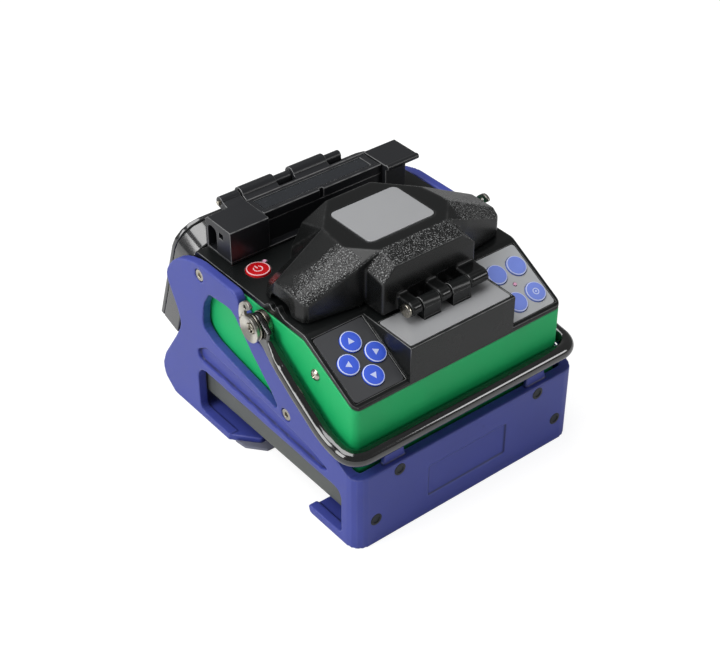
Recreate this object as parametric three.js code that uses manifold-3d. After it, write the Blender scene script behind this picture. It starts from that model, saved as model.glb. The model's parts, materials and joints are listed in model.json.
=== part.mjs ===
// A field fusion splicer for optical fibre, folded for carrying.
// A blue carrying cradle holds a body in a green rubber jacket. On top are two keypads, a wind
// cover over the splicing stage, a tube heater, and a monitor that hangs folded behind.
// Millimetres: x to the right, y back from the cradle's front face, z up from the floor.
import * as THREE from "three";
import { ConvexGeometry } from "three/addons/geometries/ConvexGeometry.js";
import { mergeVertices } from "three/addons/utils/BufferGeometryUtils.js";
import Module from "manifold-3d";

const wasm = await Module();
wasm.setup();
const { Manifold, Mesh: SolidMesh } = wasm;

// Driving dimensions
const GAP = 0.3; // clearance between pieces that touch
const BOLT_SIDES = 14;
const BORE_SIDES = 10; // for bores and shafts that nothing shows

const CRADLE_HALF = 70; // half the width over the two side plates
const PLATE = 5; // side plate thickness
const FRONT_WALL = 5.5;
const FRONT_TOP = 43.2;
const SHELF_TOP = 3.6;
const REST_TOP = 49.5; // top of the two rests that the folded handle lies on

const JACKET_HALF = 64.4;
const JACKET_WALL = 2;
const JACKET_FRONT = 8.1;
const JACKET_REAR = 127.5;
const JACKET_BOTTOM = 34.6;

const DECK = 99.3; // height of the flat top
const DECK_REAR = 131.8;
const LIP = 3; // depth of the top's overhang above the jacket
const SLOPE_FRONT = [8.1, 79.2]; // y and z where the keypad slope starts
const SLOPE_END = 44.6; // y where the slope meets the deck
const BODY_REAR = 150;
const WALL = 2.6; // wall of the top housing

const CHASSIS_HALF = 64;
const CHASSIS_BOTTOM = 9;

const NOSE_HALF = 32; // fixed block between the keypads
const NOSE_TOP = 98.2;

const KEY_R = 5.4;
const KEY_TRAVEL = 0.8;
const POWER_R = 6.1;

const COVER_BASE = 99.9;
const PLATEAU = 127; // flat top of the wind cover
const COVER_AXIS = [25.2, 104.3]; // y and z of the wind cover's hinge pin
const KNUCKLE_R = 3.75;
const COVER_PIN_R = 1.5;

const HEATER_TOP = 118;
const HEATER_AXIS = [135.5, 118];
const LID_HALF = 38;

const MONITOR_AXIS = [144.94, 93.74];
const MONITOR_TILT = THREE.MathUtils.degToRad(18.54);
const MONITOR_HALF = 64;
const MONITOR_BELOW = 60; // from the hinge axis down to the bottom edge
const MONITOR_THICK = 16;

const HANDLE_AXIS = [74, 90.4];
const HANDLE_X = 69.5;
const HANDLE_R = 4;
const SHAFT_R = 2.5; // the pivot knob's shaft
const SHAFT_BORE_R = 2.9;

const FIBRE = [68, 101.4]; // y and z of the fibre line through the splicing stage

// Materials, as the photograph shows them
const BLUE = { color: 0x4a4fa0, roughness: 0.45, metalness: 0 };
const GREEN = { color: 0x12a052, roughness: 0.75, metalness: 0 };
const BLACK = { color: 0x1b1c1e, roughness: 0.55, metalness: 0 };
const GLOSS = { color: 0x0c0d0f, roughness: 0.15, metalness: 0 };
const GREY = { color: 0x4c4e50, roughness: 0.6, metalness: 0 };
const PAD = { color: 0x8a8c8e, roughness: 0.8, metalness: 0 };
const OVERLAY = { color: 0x55575b, roughness: 0.35, metalness: 0 };
const LABEL = { color: 0xb6b7ba, roughness: 0.35, metalness: 0.3 };
const KEY_BLUE = { color: 0x3a55cc, roughness: 0.4, metalness: 0 };
const RED = { color: 0xc8141a, roughness: 0.35, metalness: 0 };
const LAMP = { color: 0xe9c9d4, roughness: 0.2, metalness: 0 };
const STEEL = { color: 0xb9b4a8, roughness: 0.25, metalness: 1 };
const ALUMINIUM = { color: 0xc4c6c8, roughness: 0.35, metalness: 1 };
const CERAMIC = { color: 0xe8e6df, roughness: 0.3, metalness: 0 };
const GLASS = { color: 0x2a2d30, roughness: 0.05, metalness: 0 };
const BOARD = { color: 0x1d6b3c, roughness: 0.5, metalness: 0 };

// A closed solid from a three.js geometry.
function solid(geometry) {
  const bare = geometry.index ? geometry.toNonIndexed() : geometry.clone();
  bare.deleteAttribute("normal");
  bare.deleteAttribute("uv");
  const merged = mergeVertices(bare, 1e-4);
  return new Manifold(
    new SolidMesh({
      numProp: 3,
      vertProperties: merged.attributes.position.array,
      triVerts: new Uint32Array(merged.index.array),
    }),
  );
}

// The three.js geometry of a solid.
function geometryOf(body) {
  const { vertProperties, triVerts } = body.getMesh();
  const geometry = new THREE.BufferGeometry();
  geometry.setAttribute("position", new THREE.BufferAttribute(vertProperties, 3));
  geometry.setIndex(new THREE.BufferAttribute(triVerts, 1));
  return geometry;
}

const join = (first, ...others) => others.reduce((sum, next) => sum.add(next), first);
const cut = (first, ...others) => others.reduce((rest, next) => rest.subtract(next), first);

// Points on an arc, in degrees.
function arc(a, b, radius, from, to, count) {
  return Array.from({ length: count + 1 }, (_, i) => {
    const angle = THREE.MathUtils.degToRad(from + ((to - from) * i) / count);
    return [a + radius * Math.cos(angle), b + radius * Math.sin(angle)];
  });
}

// A closed outline from corners [a, b, radius]. A corner with a radius becomes an arc, with longer
// steps where it is small.
function outline(corners) {
  const points = [];
  corners.forEach(([a, b, radius = 0], i) => {
    const corner = new THREE.Vector2(a, b);
    if (!radius) {
      points.push(corner);
      return;
    }
    const last = corners[(i + corners.length - 1) % corners.length];
    const next = corners[(i + 1) % corners.length];
    const back = new THREE.Vector2(last[0], last[1]).sub(corner).normalize();
    const ahead = new THREE.Vector2(next[0], next[1]).sub(corner).normalize();
    const half = Math.acos(THREE.MathUtils.clamp(back.dot(ahead), -1, 1)) / 2;
    const middle = back.clone().add(ahead).normalize();
    const centre = corner.clone().addScaledVector(middle, radius / Math.sin(half));
    const start = corner.clone().addScaledVector(back, radius / Math.tan(half)).sub(centre);
    const turn = (Math.PI - 2 * half) * Math.sign(ahead.cross(back) || 1);
    const degreesPerStep = radius < 2.5 ? 45 : 22.5;
    const steps = Math.max(1, Math.round(Math.abs(THREE.MathUtils.radToDeg(turn)) / degreesPerStep));
    for (let k = 0; k <= steps; k += 1) {
      points.push(start.clone().rotateAround(new THREE.Vector2(), (turn * k) / steps).add(centre));
    }
  });
  return points;
}

function extruded(points, depth) {
  return new THREE.ExtrudeGeometry(new THREE.Shape(points), { depth, bevelEnabled: false });
}

const X = new THREE.Vector3(1, 0, 0);
const Y = new THREE.Vector3(0, 1, 0);
const Z = new THREE.Vector3(0, 0, 1);

// Extrusions of an outline in (y, z) along x, in (x, z) along y and in (x, y) along z.
function alongX(corners, x0, x1) {
  const turn = new THREE.Matrix4().makeBasis(Y, Z, X);
  return solid(extruded(outline(corners), x1 - x0).applyMatrix4(turn).translate(x0, 0, 0));
}

function alongY(corners, y0, y1) {
  const turn = new THREE.Matrix4().makeBasis(X, Z, Y.clone().negate());
  return solid(extruded(outline(corners), y1 - y0).applyMatrix4(turn).translate(0, y1, 0));
}

function alongZ(corners, z0, z1) {
  return solid(extruded(outline(corners), z1 - z0).translate(0, 0, z0));
}

function rectangle(a0, a1, b0, b1, radius = 0) {
  return [
    [a0, b0, radius],
    [a1, b0, radius],
    [a1, b1, radius],
    [a0, b1, radius],
  ];
}

function block(x0, x1, y0, y1, z0, z1) {
  const box = new THREE.BoxGeometry(x1 - x0, y1 - y0, z1 - z0);
  return solid(box.translate((x0 + x1) / 2, (y0 + y1) / 2, (z0 + z1) / 2));
}

// Round rods along x and y, and a round stud along z.
function rodX(radius, x0, x1, [y, z], sides = BOLT_SIDES) {
  const rod = new THREE.CylinderGeometry(radius, radius, x1 - x0, sides);
  return solid(rod.rotateZ(Math.PI / 2).translate((x0 + x1) / 2, y, z));
}

function rodY(radius, y0, y1, [x, z], sides = BOLT_SIDES) {
  const rod = new THREE.CylinderGeometry(radius, radius, y1 - y0, sides);
  return solid(rod.translate(x, (y0 + y1) / 2, z));
}

function rodZ(radius, z0, z1, [x, y], sides = BOLT_SIDES) {
  const rod = new THREE.CylinderGeometry(radius, radius, z1 - z0, sides);
  return solid(rod.rotateX(Math.PI / 2).translate(x, y, (z0 + z1) / 2));
}

// A round piece about z from its half section [radius, height].
function turned(section, sides = 24) {
  const profile = section.map(([r, h]) => new THREE.Vector2(r, h));
  return solid(new THREE.LatheGeometry(profile, sides).rotateX(Math.PI / 2));
}

// A faceted moulding: the convex hull of its corner points.
function hull(corners) {
  return solid(new ConvexGeometry(corners.map((corner) => new THREE.Vector3(...corner))));
}

// A list of points and its mirror image left to right.
function bothSides(corners) {
  return [...corners, ...corners.map(([x, y, z]) => [-x, y, z])];
}

// The same span on the left (side -1) or the right (side 1).
function span(side, near, far) {
  return side > 0 ? [near, far] : [-far, -near];
}

function piece(name, body, finish, place) {
  const geometry = geometryOf(body).toNonIndexed();
  geometry.computeVertexNormals();
  const mesh = new THREE.Mesh(geometry, new THREE.MeshStandardMaterial(finish));
  mesh.name = name;
  place.add(mesh);
  return mesh;
}

const splicer = new THREE.Group();
const frame = new THREE.Group(); // everything, measured from the cradle's front bottom edge
splicer.add(frame);

const SIDES = [
  ["left", -1],
  ["right", 1],
];

// Carrying cradle: a front wall and two side plates with a leaf-shaped window each, a tapered
// groove below it and a long opening at the foot, on two floor shelves.
const CRADLE_SCREWS = [
  ["front", [53.4, 49.8]],
  ["rear", [121.5, 92.7]],
];
const SCREW_R = 1.5;

const plateOutline = [
  [0, 0],
  [36, 0, 1.5],
  [37.5, 4.6, 1],
  [11.5, 4.6, 3],
  [11.5, 31.4, 5],
  [129.3, 33.4, 8],
  [129.3, 4, 4],
  [103.6, 4],
  [104, 0],
  [153.6, 0, 3],
  [162.3, 6.6, 5],
  [163.6, 13.8, 6],
  [160.1, 22.6, 8],
  [148.4, 40, 14],
  [141.4, 51.7, 9],
  [143.9, 60.2, 14],
  [152.6, 76.5, 7],
  [149.8, 83.6, 12],
  [143.3, 91, 14],
  [133.8, 96.3, 20],
  [122, 99.4, 20],
  [88.2, 99.4, 5],
  [88.2, 91.8, 2],
  ...arc(HANDLE_AXIS[0], HANDLE_AXIS[1], 9.7, 4, -102, 7),
  [66, 77, 8],
  [44, 63, 20],
  [25.5, 52.5, 20],
  [12, 47, 10],
  [4.5, FRONT_TOP, 4],
  [0, FRONT_TOP, 0.8],
];

const leafWindow = [
  [113.6, 85.8, 3],
  [94.2, 87.8, 8],
  [79.4, 71.4, 20],
  [62.6, 55.4, 20],
  [59.6, 50.6, 1.6],
  [62, 48.6, 1.5],
  [99.3, 54.8, 20],
  [113, 57.5, 10],
  [121.6, 62.5, 6],
  [119.4, 77, 10],
];

const sideGroove = [
  [127.4, 44.8, 3.4],
  [119.4, 49.9, 6],
  [99.8, 48.8, 20],
  [67, 46.4, 30],
  [35.9, 42.1, 20],
  [20.4, 37.6, 0.8],
  [27.1, 34.6, 3],
  [51.8, 35.2, 30],
  [84.1, 36.9, 30],
  [109.4, 38, 20],
  [128.4, 38.4, 4],
];

// The slanted front corner of the rear shelf, as points (x, y) on the right-hand side.
const REAR_SHELF_EDGE = [
  [59, 91],
  [CRADLE_HALF, 104],
];

function cradle() {
  const inner = CRADLE_HALF - PLATE;
  const rear = 170;
  const walls = alongZ(
    [
      [-CRADLE_HALF, 0, 7.5],
      [CRADLE_HALF, 0, 7.5],
      [CRADLE_HALF, rear],
      [inner, rear],
      [inner, FRONT_WALL, 2.5],
      [-inner, FRONT_WALL, 2.5],
      [-inner, rear],
      [-CRADLE_HALF, rear],
    ],
    0,
    120,
  );
  const frontShelf = block(-inner - 1, inner + 1, FRONT_WALL - 1, 36, 0, SHELF_TOP);
  const [[nearX, nearY], [farX, farY]] = REAR_SHELF_EDGE;
  const rearShelf = alongZ(
    [
      [-nearX, nearY],
      [-47, nearY],
      [-44, 98],
      [44, 98],
      [47, nearY],
      [nearX, nearY],
      [farX, farY],
      [farX, 145],
      [-farX, 145],
      [-farX, farY],
    ],
    0,
    SHELF_TOP,
  );
  const handleRests = [-1, 1].map((side) => {
    const [x0, x1] = span(side, 38, 52);
    const tab = [
      [x0, FRONT_TOP - 2],
      [x1, FRONT_TOP - 2],
      [x1 - 1.5, REST_TOP, 2],
      [x0 + 1.5, REST_TOP, 2],
    ];
    return alongY(tab, 3, FRONT_WALL);
  });
  let shape = walls.intersect(alongX(plateOutline, -CRADLE_HALF - 1, CRADLE_HALF + 1));
  shape = join(shape, frontShelf, rearShelf, ...handleRests);
  shape = cut(shape, alongZ(rectangle(-44, 44, 110, 136, 5), -1, SHELF_TOP + 1));
  for (const [, side] of SIDES) {
    const [through0, through1] = span(side, inner - 1, CRADLE_HALF + 1);
    const [groove0, groove1] = span(side, CRADLE_HALF - 2.2, CRADLE_HALF + 1);
    const window = alongX(leafWindow, through0, through1);
    shape = cut(shape, window, alongX(sideGroove, groove0, groove1));
    for (const [, place] of CRADLE_SCREWS) {
      const sink = rodX(3.6, ...span(side, CRADLE_HALF - 2.6, CRADLE_HALF + 1), place);
      shape = cut(shape, rodX(SCREW_R + GAP, through0, through1, place, BORE_SIDES), sink);
    }
    for (const [x, z] of [
      [44, 38.6],
      [58, 15],
    ]) {
      shape = cut(shape, rodY(2.9, -1, 1.6, [side * x, z]));
    }
  }
  return cut(shape, alongY(rectangle(-26, 24, 11, 30, 1), -1, 0.9));
}

piece("cradle", cradle(), BLUE, frame);

for (const [sideName, side] of SIDES) {
  for (const [end, place] of CRADLE_SCREWS) {
    const head = rodX(3.2, ...span(side, CRADLE_HALF - 2.3, CRADLE_HALF - 0.5), place);
    const shank = rodX(SCREW_R, ...span(side, 57, CRADLE_HALF - 1), place, BORE_SIDES);
    const socket = rodX(1.5, ...span(side, CRADLE_HALF - 1.9, CRADLE_HALF), place, 6);
    piece("cradle_screw_" + sideName + "_" + end, cut(join(head, shank), socket), STEEL, frame);
  }
}

// The keypad slope as a frame of its own: x across, y up the slope, z out of it.
const slopeRise = DECK - SLOPE_FRONT[1];
const slopeRun = SLOPE_END - SLOPE_FRONT[0];
const slope = new THREE.Group();
slope.position.set(0, ...SLOPE_FRONT);
slope.rotation.x = Math.atan2(slopeRise, slopeRun);
slope.updateMatrix();
frame.add(slope);

const onSlope = (geometry) => solid(geometry.applyMatrix4(slope.matrix));

const KEYS = [
  ["key_up", -46, 29.5],
  ["key_right", -38.1, 20.1],
  ["key_left", -53.8, 20.1],
  ["key_down", -46, 10.7],
  ["key_rear_right", 55.4, 27.4],
  ["key_front_right", 55.6, 11.4],
  ["key_rear_inner", 42.7, 27.5],
  ["key_front_inner", 43.1, 10.8],
];
const STATUS_LAMP = [48.4, 19.4];
const PANEL = { near: 33.3, far: 61.9, low: 2.6, high: 38.4, depth: 1 };

// Rear of the body: it leans with the monitor and is hollowed where the monitor's top edge turns.
const rearOutline = [
  [BODY_REAR, 48, 6],
  [137.8, 84, 2],
  [134.4, 88.2],
  [133, 93.7],
  [133.2, 96.6],
  [DECK_REAR, DECK, 1],
];

// Fibre guide on each edge of the deck, in (y, z): a groove between a fin and a low ridge.
const fibreGuide = [
  [59.8, DECK - 2.6],
  [59.8, DECK],
  [63.2, DECK + 1.9, 1],
  [64.4, DECK + 3.9, 0.6],
  [66.1, DECK + 3.9, 0.6],
  [67.2, DECK + 0.7, 0.5],
  [69.2, DECK + 0.7, 0.5],
  [70.6, DECK + 2.3, 1],
  [72.6, DECK + 2.3, 1],
  [75.2, DECK],
  [75.2, DECK - 2.6],
];

// Top housing: deck, keypad slopes, nose with the cover's hinge lugs, splicing bay and monitor lugs.
const BAY = { half: 46, front: 52, rear: 86, floor: 84, corner: 4 };
const LUGS = [
  [-12.9, -2.9],
  [4.7, 15.6],
];
const MONITOR_LUG = [23, 35];
const POWER_AT = [-50.1, 99.6];
const POWER_LAMP_AT = [-43.3, 103.8];

function topHousing() {
  const half = JACKET_HALF - 0.2;
  const core = JACKET_HALF - JACKET_WALL - GAP;
  const front = JACKET_FRONT + JACKET_WALL + GAP;
  const lipFront = SLOPE_FRONT[1] - 2;
  const lipLine = DECK - LIP + 0.2;
  const roundFront = [
    [-half, JACKET_FRONT, 3.6],
    [half, JACKET_FRONT, 3.6],
    [half, 140],
    [-half, 140],
  ];
  const lipSection = [
    [JACKET_FRONT, lipFront],
    [...SLOPE_FRONT, 1.2],
    [SLOPE_END, DECK, 4],
    [DECK_REAR, DECK, 1],
    [DECK_REAR, lipLine],
    [45.5, lipLine],
  ];
  const lip = alongX(lipSection, -half, half).intersect(alongZ(roundFront, 70, 110));
  const skirtSection = [
    [front, JACKET_BOTTOM],
    [front, 79],
    [SLOPE_END + 2, DECK - 1.5],
    ...rearOutline.slice(0, -1).reverse(),
    [BODY_REAR, JACKET_BOTTOM],
  ];
  const skirt = alongX(skirtSection, -core, core);
  const backSection = [
    [JACKET_REAR + GAP, JACKET_BOTTOM],
    [BODY_REAR, JACKET_BOTTOM],
    ...rearOutline,
    [JACKET_REAR + GAP, DECK],
  ];
  const back = alongX(backSection, -half, half);
  const noseSection = [
    [JACKET_FRONT, lipFront],
    [46, lipLine],
    [46, NOSE_TOP],
    [JACKET_FRONT, NOSE_TOP, 1],
  ];
  const noseFront = alongX(noseSection, -NOSE_HALF, NOSE_HALF);
  const insideSection = [
    [front + WALL, 30],
    [front + WALL, 78],
    [45.5, DECK - 3.4],
    [128.5, DECK - 3.4],
    [130.4, 88],
    [134.6, 82],
    [BODY_REAR - WALL, 47.5],
    [BODY_REAR - WALL, 30],
  ];
  const inside = alongX(insideSection, -core + WALL, core - WALL);
  const noseInside = block(-NOSE_HALF + WALL, NOSE_HALF - WALL, front + 1, 44, 60, NOSE_TOP - 3.2);
  const { half: bayHalf, front: bayFront, rear: bayRear, floor, corner } = BAY;
  const tub = block(-bayHalf - 2.5, bayHalf + 2.5, bayFront - 2.5, bayRear + 2.5, floor - 2.5, DECK - 2);
  const well = alongZ(rectangle(-bayHalf, bayHalf, bayFront, bayRear, corner), floor, DECK + 1);

  let shape = join(lip, skirt, back, noseFront);
  shape = cut(shape, inside, noseInside);
  shape = cut(join(shape, tub), well);
  for (const [x0, x1] of LUGS) {
    const [axisY, axisZ] = COVER_AXIS;
    const foot = block(x0, x1, axisY - KNUCKLE_R, axisY + KNUCKLE_R, NOSE_TOP - 2, axisZ);
    shape = join(shape, foot, rodX(KNUCKLE_R, x0, x1, COVER_AXIS));
  }
  shape = cut(shape, rodX(COVER_PIN_R + GAP, -20, 20, COVER_AXIS));
  const [lugNear, lugFar] = MONITOR_LUG;
  for (const [, side] of SIDES) {
    const arm = [
      [131, DECK - 1.5],
      ...arc(...MONITOR_AXIS, 4.6, 80, -100, 8),
      [134, 84.5],
      [131, 84.5],
    ];
    const guide = alongX(fibreGuide, ...span(side, 61.4, half));
    shape = join(shape, alongX(arm, ...span(side, lugNear, lugFar)), guide);
    const shaft = rodX(SHAFT_BORE_R, ...span(side, 50, 70), HANDLE_AXIS, BORE_SIDES);
    const bores = CRADLE_SCREWS.map(([, at]) => rodX(SCREW_R + GAP, ...span(side, 50, 70), at, BORE_SIDES));
    const [near, far] = span(side, PANEL.near - GAP, PANEL.far + GAP);
    const seat = new THREE.BoxGeometry(far - near, PANEL.high - PANEL.low + 2 * GAP, 4);
    const middle = (PANEL.high + PANEL.low) / 2;
    seat.translate((near + far) / 2, middle, 2 - PANEL.depth);
    shape = cut(shape, shaft, ...bores, onSlope(seat));
  }
  shape = cut(shape, rodX(1.9, -40, 40, MONITOR_AXIS, BORE_SIDES));
  for (const [, x, s] of KEYS) {
    const bore = new THREE.CylinderGeometry(KEY_R + 0.6, KEY_R + 0.6, 12, 12);
    shape = cut(shape, onSlope(bore.rotateX(Math.PI / 2).translate(x, s, 0)));
  }
  const lampHole = new THREE.CylinderGeometry(1.3, 1.3, 4, BORE_SIDES);
  shape = cut(shape, onSlope(lampHole.rotateX(Math.PI / 2).translate(...STATUS_LAMP, -1)));
  const plateSeat = block(-30.9, 30.9, 9.6, 32.8, NOSE_TOP - 0.8, NOSE_TOP + 0.01);
  const lugPlinths = LUGS.map(([x0, x1]) => block(x0, x1, 21, 29.4, NOSE_TOP - 1.5, NOSE_TOP + 1));
  shape = join(cut(shape, plateSeat), ...lugPlinths);
  shape = cut(shape, rodZ(POWER_R + GAP, 90, DECK + 1, POWER_AT, 24));
  return cut(shape, rodZ(1.3, 97, DECK + 1, POWER_LAMP_AT, 12));
}

piece("top_housing", topHousing(), BLACK, frame);

// Rubber jacket: a band round the front and both sides, under the lip of the top.
function rubberJacket() {
  const plan = alongZ(
    [
      [-JACKET_HALF, JACKET_FRONT, 4],
      [JACKET_HALF, JACKET_FRONT, 4],
      [JACKET_HALF, JACKET_REAR],
      [JACKET_HALF - JACKET_WALL, JACKET_REAR],
      [JACKET_HALF - JACKET_WALL, JACKET_FRONT + JACKET_WALL],
      [-JACKET_HALF + JACKET_WALL, JACKET_FRONT + JACKET_WALL],
      [-JACKET_HALF + JACKET_WALL, JACKET_REAR],
      [-JACKET_HALF, JACKET_REAR],
    ],
    JACKET_BOTTOM,
    DECK,
  );
  const lipLine = DECK - LIP - GAP;
  const side = alongX(
    [
      [JACKET_FRONT - 1, JACKET_BOTTOM, 0],
      [JACKET_REAR + 1, JACKET_BOTTOM, 0],
      [JACKET_REAR + 1, lipLine],
      [45.2, lipLine],
      [JACKET_FRONT, SLOPE_FRONT[1] - 2 - GAP],
      [JACKET_FRONT - 1, SLOPE_FRONT[1] - 2 - GAP],
    ],
    -JACKET_HALF - 1,
    JACKET_HALF + 1,
  );
  let shape = plan.intersect(side);
  for (const [, edge] of SIDES) {
    const across = span(edge, 60, 66);
    const holes = CRADLE_SCREWS.map(([, at]) => rodX(SCREW_R + 2 * GAP, ...across, at, BORE_SIDES));
    shape = cut(shape, rodX(3.1, ...across, HANDLE_AXIS, BORE_SIDES), ...holes);
  }
  return shape;
}

piece("rubber_jacket", rubberJacket(), GREEN, frame);

// Lower chassis: a tray that closes the body from below, with the battery bay open to the rear.
const BATTERY = { half: 41, front: 60, bottom: 12.3, top: 32.3 };
const BOARD_Z = 44;
const POSTS = bothSides([
  [52, 28, 0],
  [52, 138, 0],
]);

function lowerChassis() {
  const top = JACKET_BOTTOM - GAP;
  const floor = BATTERY.bottom - GAP;
  const section = [
    [-CHASSIS_HALF, top],
    [-CHASSIS_HALF, CHASSIS_BOTTOM, 6],
    [CHASSIS_HALF, CHASSIS_BOTTOM, 6],
    [CHASSIS_HALF, top],
  ];
  const outer = alongY(section, 10, BODY_REAR);
  const inside = block(-60.5, 60.5, 13, BODY_REAR - 3, floor, top + 1);
  const mouth = block(-BATTERY.half - 0.5, BATTERY.half + 0.5, 140, 160, floor, BATTERY.top + 0.5);
  const rails = [-1, 1].map((side) => {
    const [x0, x1] = span(side, BATTERY.half + 0.5, BATTERY.half + 2.5);
    return block(x0, x1, BATTERY.front, BODY_REAR - 2, floor - 1, 22);
  });
  const stop = block(-30, 30, BATTERY.front - 3, BATTERY.front - 0.5, floor - 1, 24);
  const posts = POSTS.map(([x, y]) => rodZ(3, floor - 1, BOARD_Z - GAP, [x, y], BORE_SIDES));
  const powerSocket = rodY(3.6, BODY_REAR - 6, BODY_REAR + 1, [53, 22]);
  const dataSocket = block(-57, -48, BODY_REAR - 6, BODY_REAR + 1, 19.5, 24.5);
  const shape = join(cut(outer, inside, mouth), ...rails, stop, ...posts);
  return cut(shape, powerSocket, dataSocket);
}

piece("lower_chassis", lowerChassis(), GREY, frame);

function batteryPack() {
  const { half, front, bottom, top } = BATTERY;
  const body = alongY(rectangle(-half, half, bottom, top, 2), front, BODY_REAR - 0.6);
  const fingerNotch = alongZ(rectangle(-11, 11, BODY_REAR - 6, BODY_REAR + 2, 3), bottom + 5, top - 5);
  const contacts = [-12, 0, 12].map((x) => block(x - 2, x + 2, front - 1, front + 2, 20, 28));
  return cut(body, fingerNotch, ...contacts);
}

piece("battery_pack", batteryPack(), BLACK, frame);

// Rest feet: a stem from the chassis down to the floor, and a pad that follows the slanted shelf.
for (const [sideName, side] of SIDES) {
  const pad = [
    [44.5, 84],
    [60, 84],
    [67.6, 93.2],
    [68.6, 101],
    [59.2, 90.5],
    [44.5, 90.5],
  ].map(([x, y]) => [side * x, y]);
  if (side < 0) pad.reverse();
  const stem = block(...span(side, 44.5, 50), 84, 90.5, 0, CHASSIS_BOTTOM - GAP);
  piece("rest_foot_" + sideName, join(alongZ(pad, 0, 1.6), stem), PAD, frame);
}

// Main board with its chips, and the arc's high-voltage supply on it.
const BOARD_THICK = 1.6;
const boardTop = BOARD_Z + BOARD_THICK;
const chips = [
  [-40, -22, 60, 78, 3],
  [-12, 2, 62, 76, 2.5],
  [-44, -30, 100, 118, 8],
  [-20, -4, 104, 122, 5],
];
const boardSlab = alongZ(rectangle(-56, 56, 22, 142, 3), BOARD_Z, boardTop);
const chipBlocks = chips.map(([x0, x1, y0, y1, high]) => block(x0, x1, y0, y1, BOARD_Z + 1, boardTop + high));
piece("main_board", join(boardSlab, ...chipBlocks), BOARD, frame);
const supply = alongZ(rectangle(10, 48, 95, 135, 2), boardTop + GAP, 66);
piece("arc_supply", cut(supply, rodZ(2, 60, 70, [16, 101], 12), rodZ(2, 60, 70, [42, 129], 12)), GREY, frame);

// Keypad panels, keys and lamps on the slopes
for (const [sideName, side] of SIDES) {
  const [x0, x1] = span(side, PANEL.near, PANEL.far);
  let panel = alongZ(rectangle(x0, x1, PANEL.low, PANEL.high, 1.5), -PANEL.depth + 0.1, -0.2);
  for (const [, x, s] of KEYS) {
    panel = cut(panel, rodZ(KEY_R + GAP, -3, 3, [x, s], 18));
  }
  if (side > 0) panel = cut(panel, rodZ(1.2, -3, 3, STATUS_LAMP, 12));
  piece("keypad_panel_" + sideName, panel, OVERLAY, slope);
}

for (const [name, x, s] of KEYS) {
  const section = [
    [0, -3.2],
    [KEY_R, -3.2],
    [KEY_R, 0.1],
    [KEY_R - 0.4, 0.5],
    [0, 0.6],
  ];
  piece(name, turned(section, 16), KEY_BLUE, slope).position.set(x, s, 0);
}
piece("status_lamp", rodZ(0.9, -2.4, 0.2, [0, 0], 12), LAMP, slope).position.set(...STATUS_LAMP, 0);

const powerSection = [
  [0, -2.6],
  [POWER_R, -2.6],
  [POWER_R, 0.3],
  [POWER_R - 0.5, 0.7],
  [0, 0.8],
];
piece("power_button", turned(powerSection, 20), RED, frame).position.set(...POWER_AT, DECK);
piece("power_lamp", rodZ(1, -1.9, 0.3, [0, 0], 12), LAMP, frame).position.set(...POWER_LAMP_AT, DECK);

// Name plate on the nose, cut out round the hinge lugs, left bare
const noseSheet = alongZ(rectangle(-30.6, 30.6, 9.9, 32.5, 1), NOSE_TOP - 0.7, NOSE_TOP);
const lugCuts = LUGS.map(([x0, x1]) => block(x0 - GAP, x1 + GAP, 20.7, 29.7, NOSE_TOP - 2, NOSE_TOP + 1));
piece("nose_plate", cut(noseSheet, ...lugCuts), LABEL, frame);

// Wind cover: a shell with a flat top, two wings over the fibre clamps, hollow notches between the
// wings and the front block, and three knuckles on its hinge.
const COVER_KNUCKLES = [
  [-19.5, -13.3],
  [-2.5, 4.3],
  [16, 27],
];

function coverForm() {
  const base = COVER_BASE;
  const wing = (side) =>
    [
      [20, 44.5, PLATEAU],
      [32, 57, PLATEAU],
      [29.5, 75.5, PLATEAU],
      [0, 84, PLATEAU],
      [34.1, 45.3, 121.5],
      [57.9, 49.6, 109.8],
      [59.8, 51.2, 110.3],
      [60.8, 55.5, 112.3],
      [60.8, 71.3, 112.3],
      [30, 45.3, base],
      [57.9, 49.6, base],
      [59.8, 51.2, base],
      [60.8, 55.5, base],
      [60.8, 74.6, base],
      [58.4, 82.2, base],
      [52.4, 88.9, base],
      [34, 92, base],
      [0, 84, base],
    ].map(([x, y, z]) => [side * x, y, z]);
  const frontBlock = bothSides([
    [20.6, 33.4, 124.5],
    [28, 33, 117.3],
    [28, 33, base],
    [20, 44.5, PLATEAU],
    [28, 46, 119.8],
    [28, 60, base],
    [20, 60, PLATEAU],
  ]);
  const rearBlock = bothSides([
    [29.5, 75.5, PLATEAU],
    [13.4, 93.5, PLATEAU],
    [25.6, 97, 117.8],
    [32.3, 97, 106.2],
    [33, 97.5, base],
    [13.4, 100, 117.8],
    [13.4, 100, base],
    [30, 60, base],
    [30, 60, PLATEAU],
  ]);
  return join(hull(wing(1)), hull(wing(-1)), hull(frontBlock), hull(rearBlock));
}

// The same form made smaller about the fibre line, as the hollow of the shell.
function coverHollow(form) {
  const geometry = geometryOf(form).translate(0, -FIBRE[0], -COVER_BASE).scale(0.952, 0.915, 0.9);
  return solid(geometry.translate(0, FIBRE[0], COVER_BASE));
}

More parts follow.
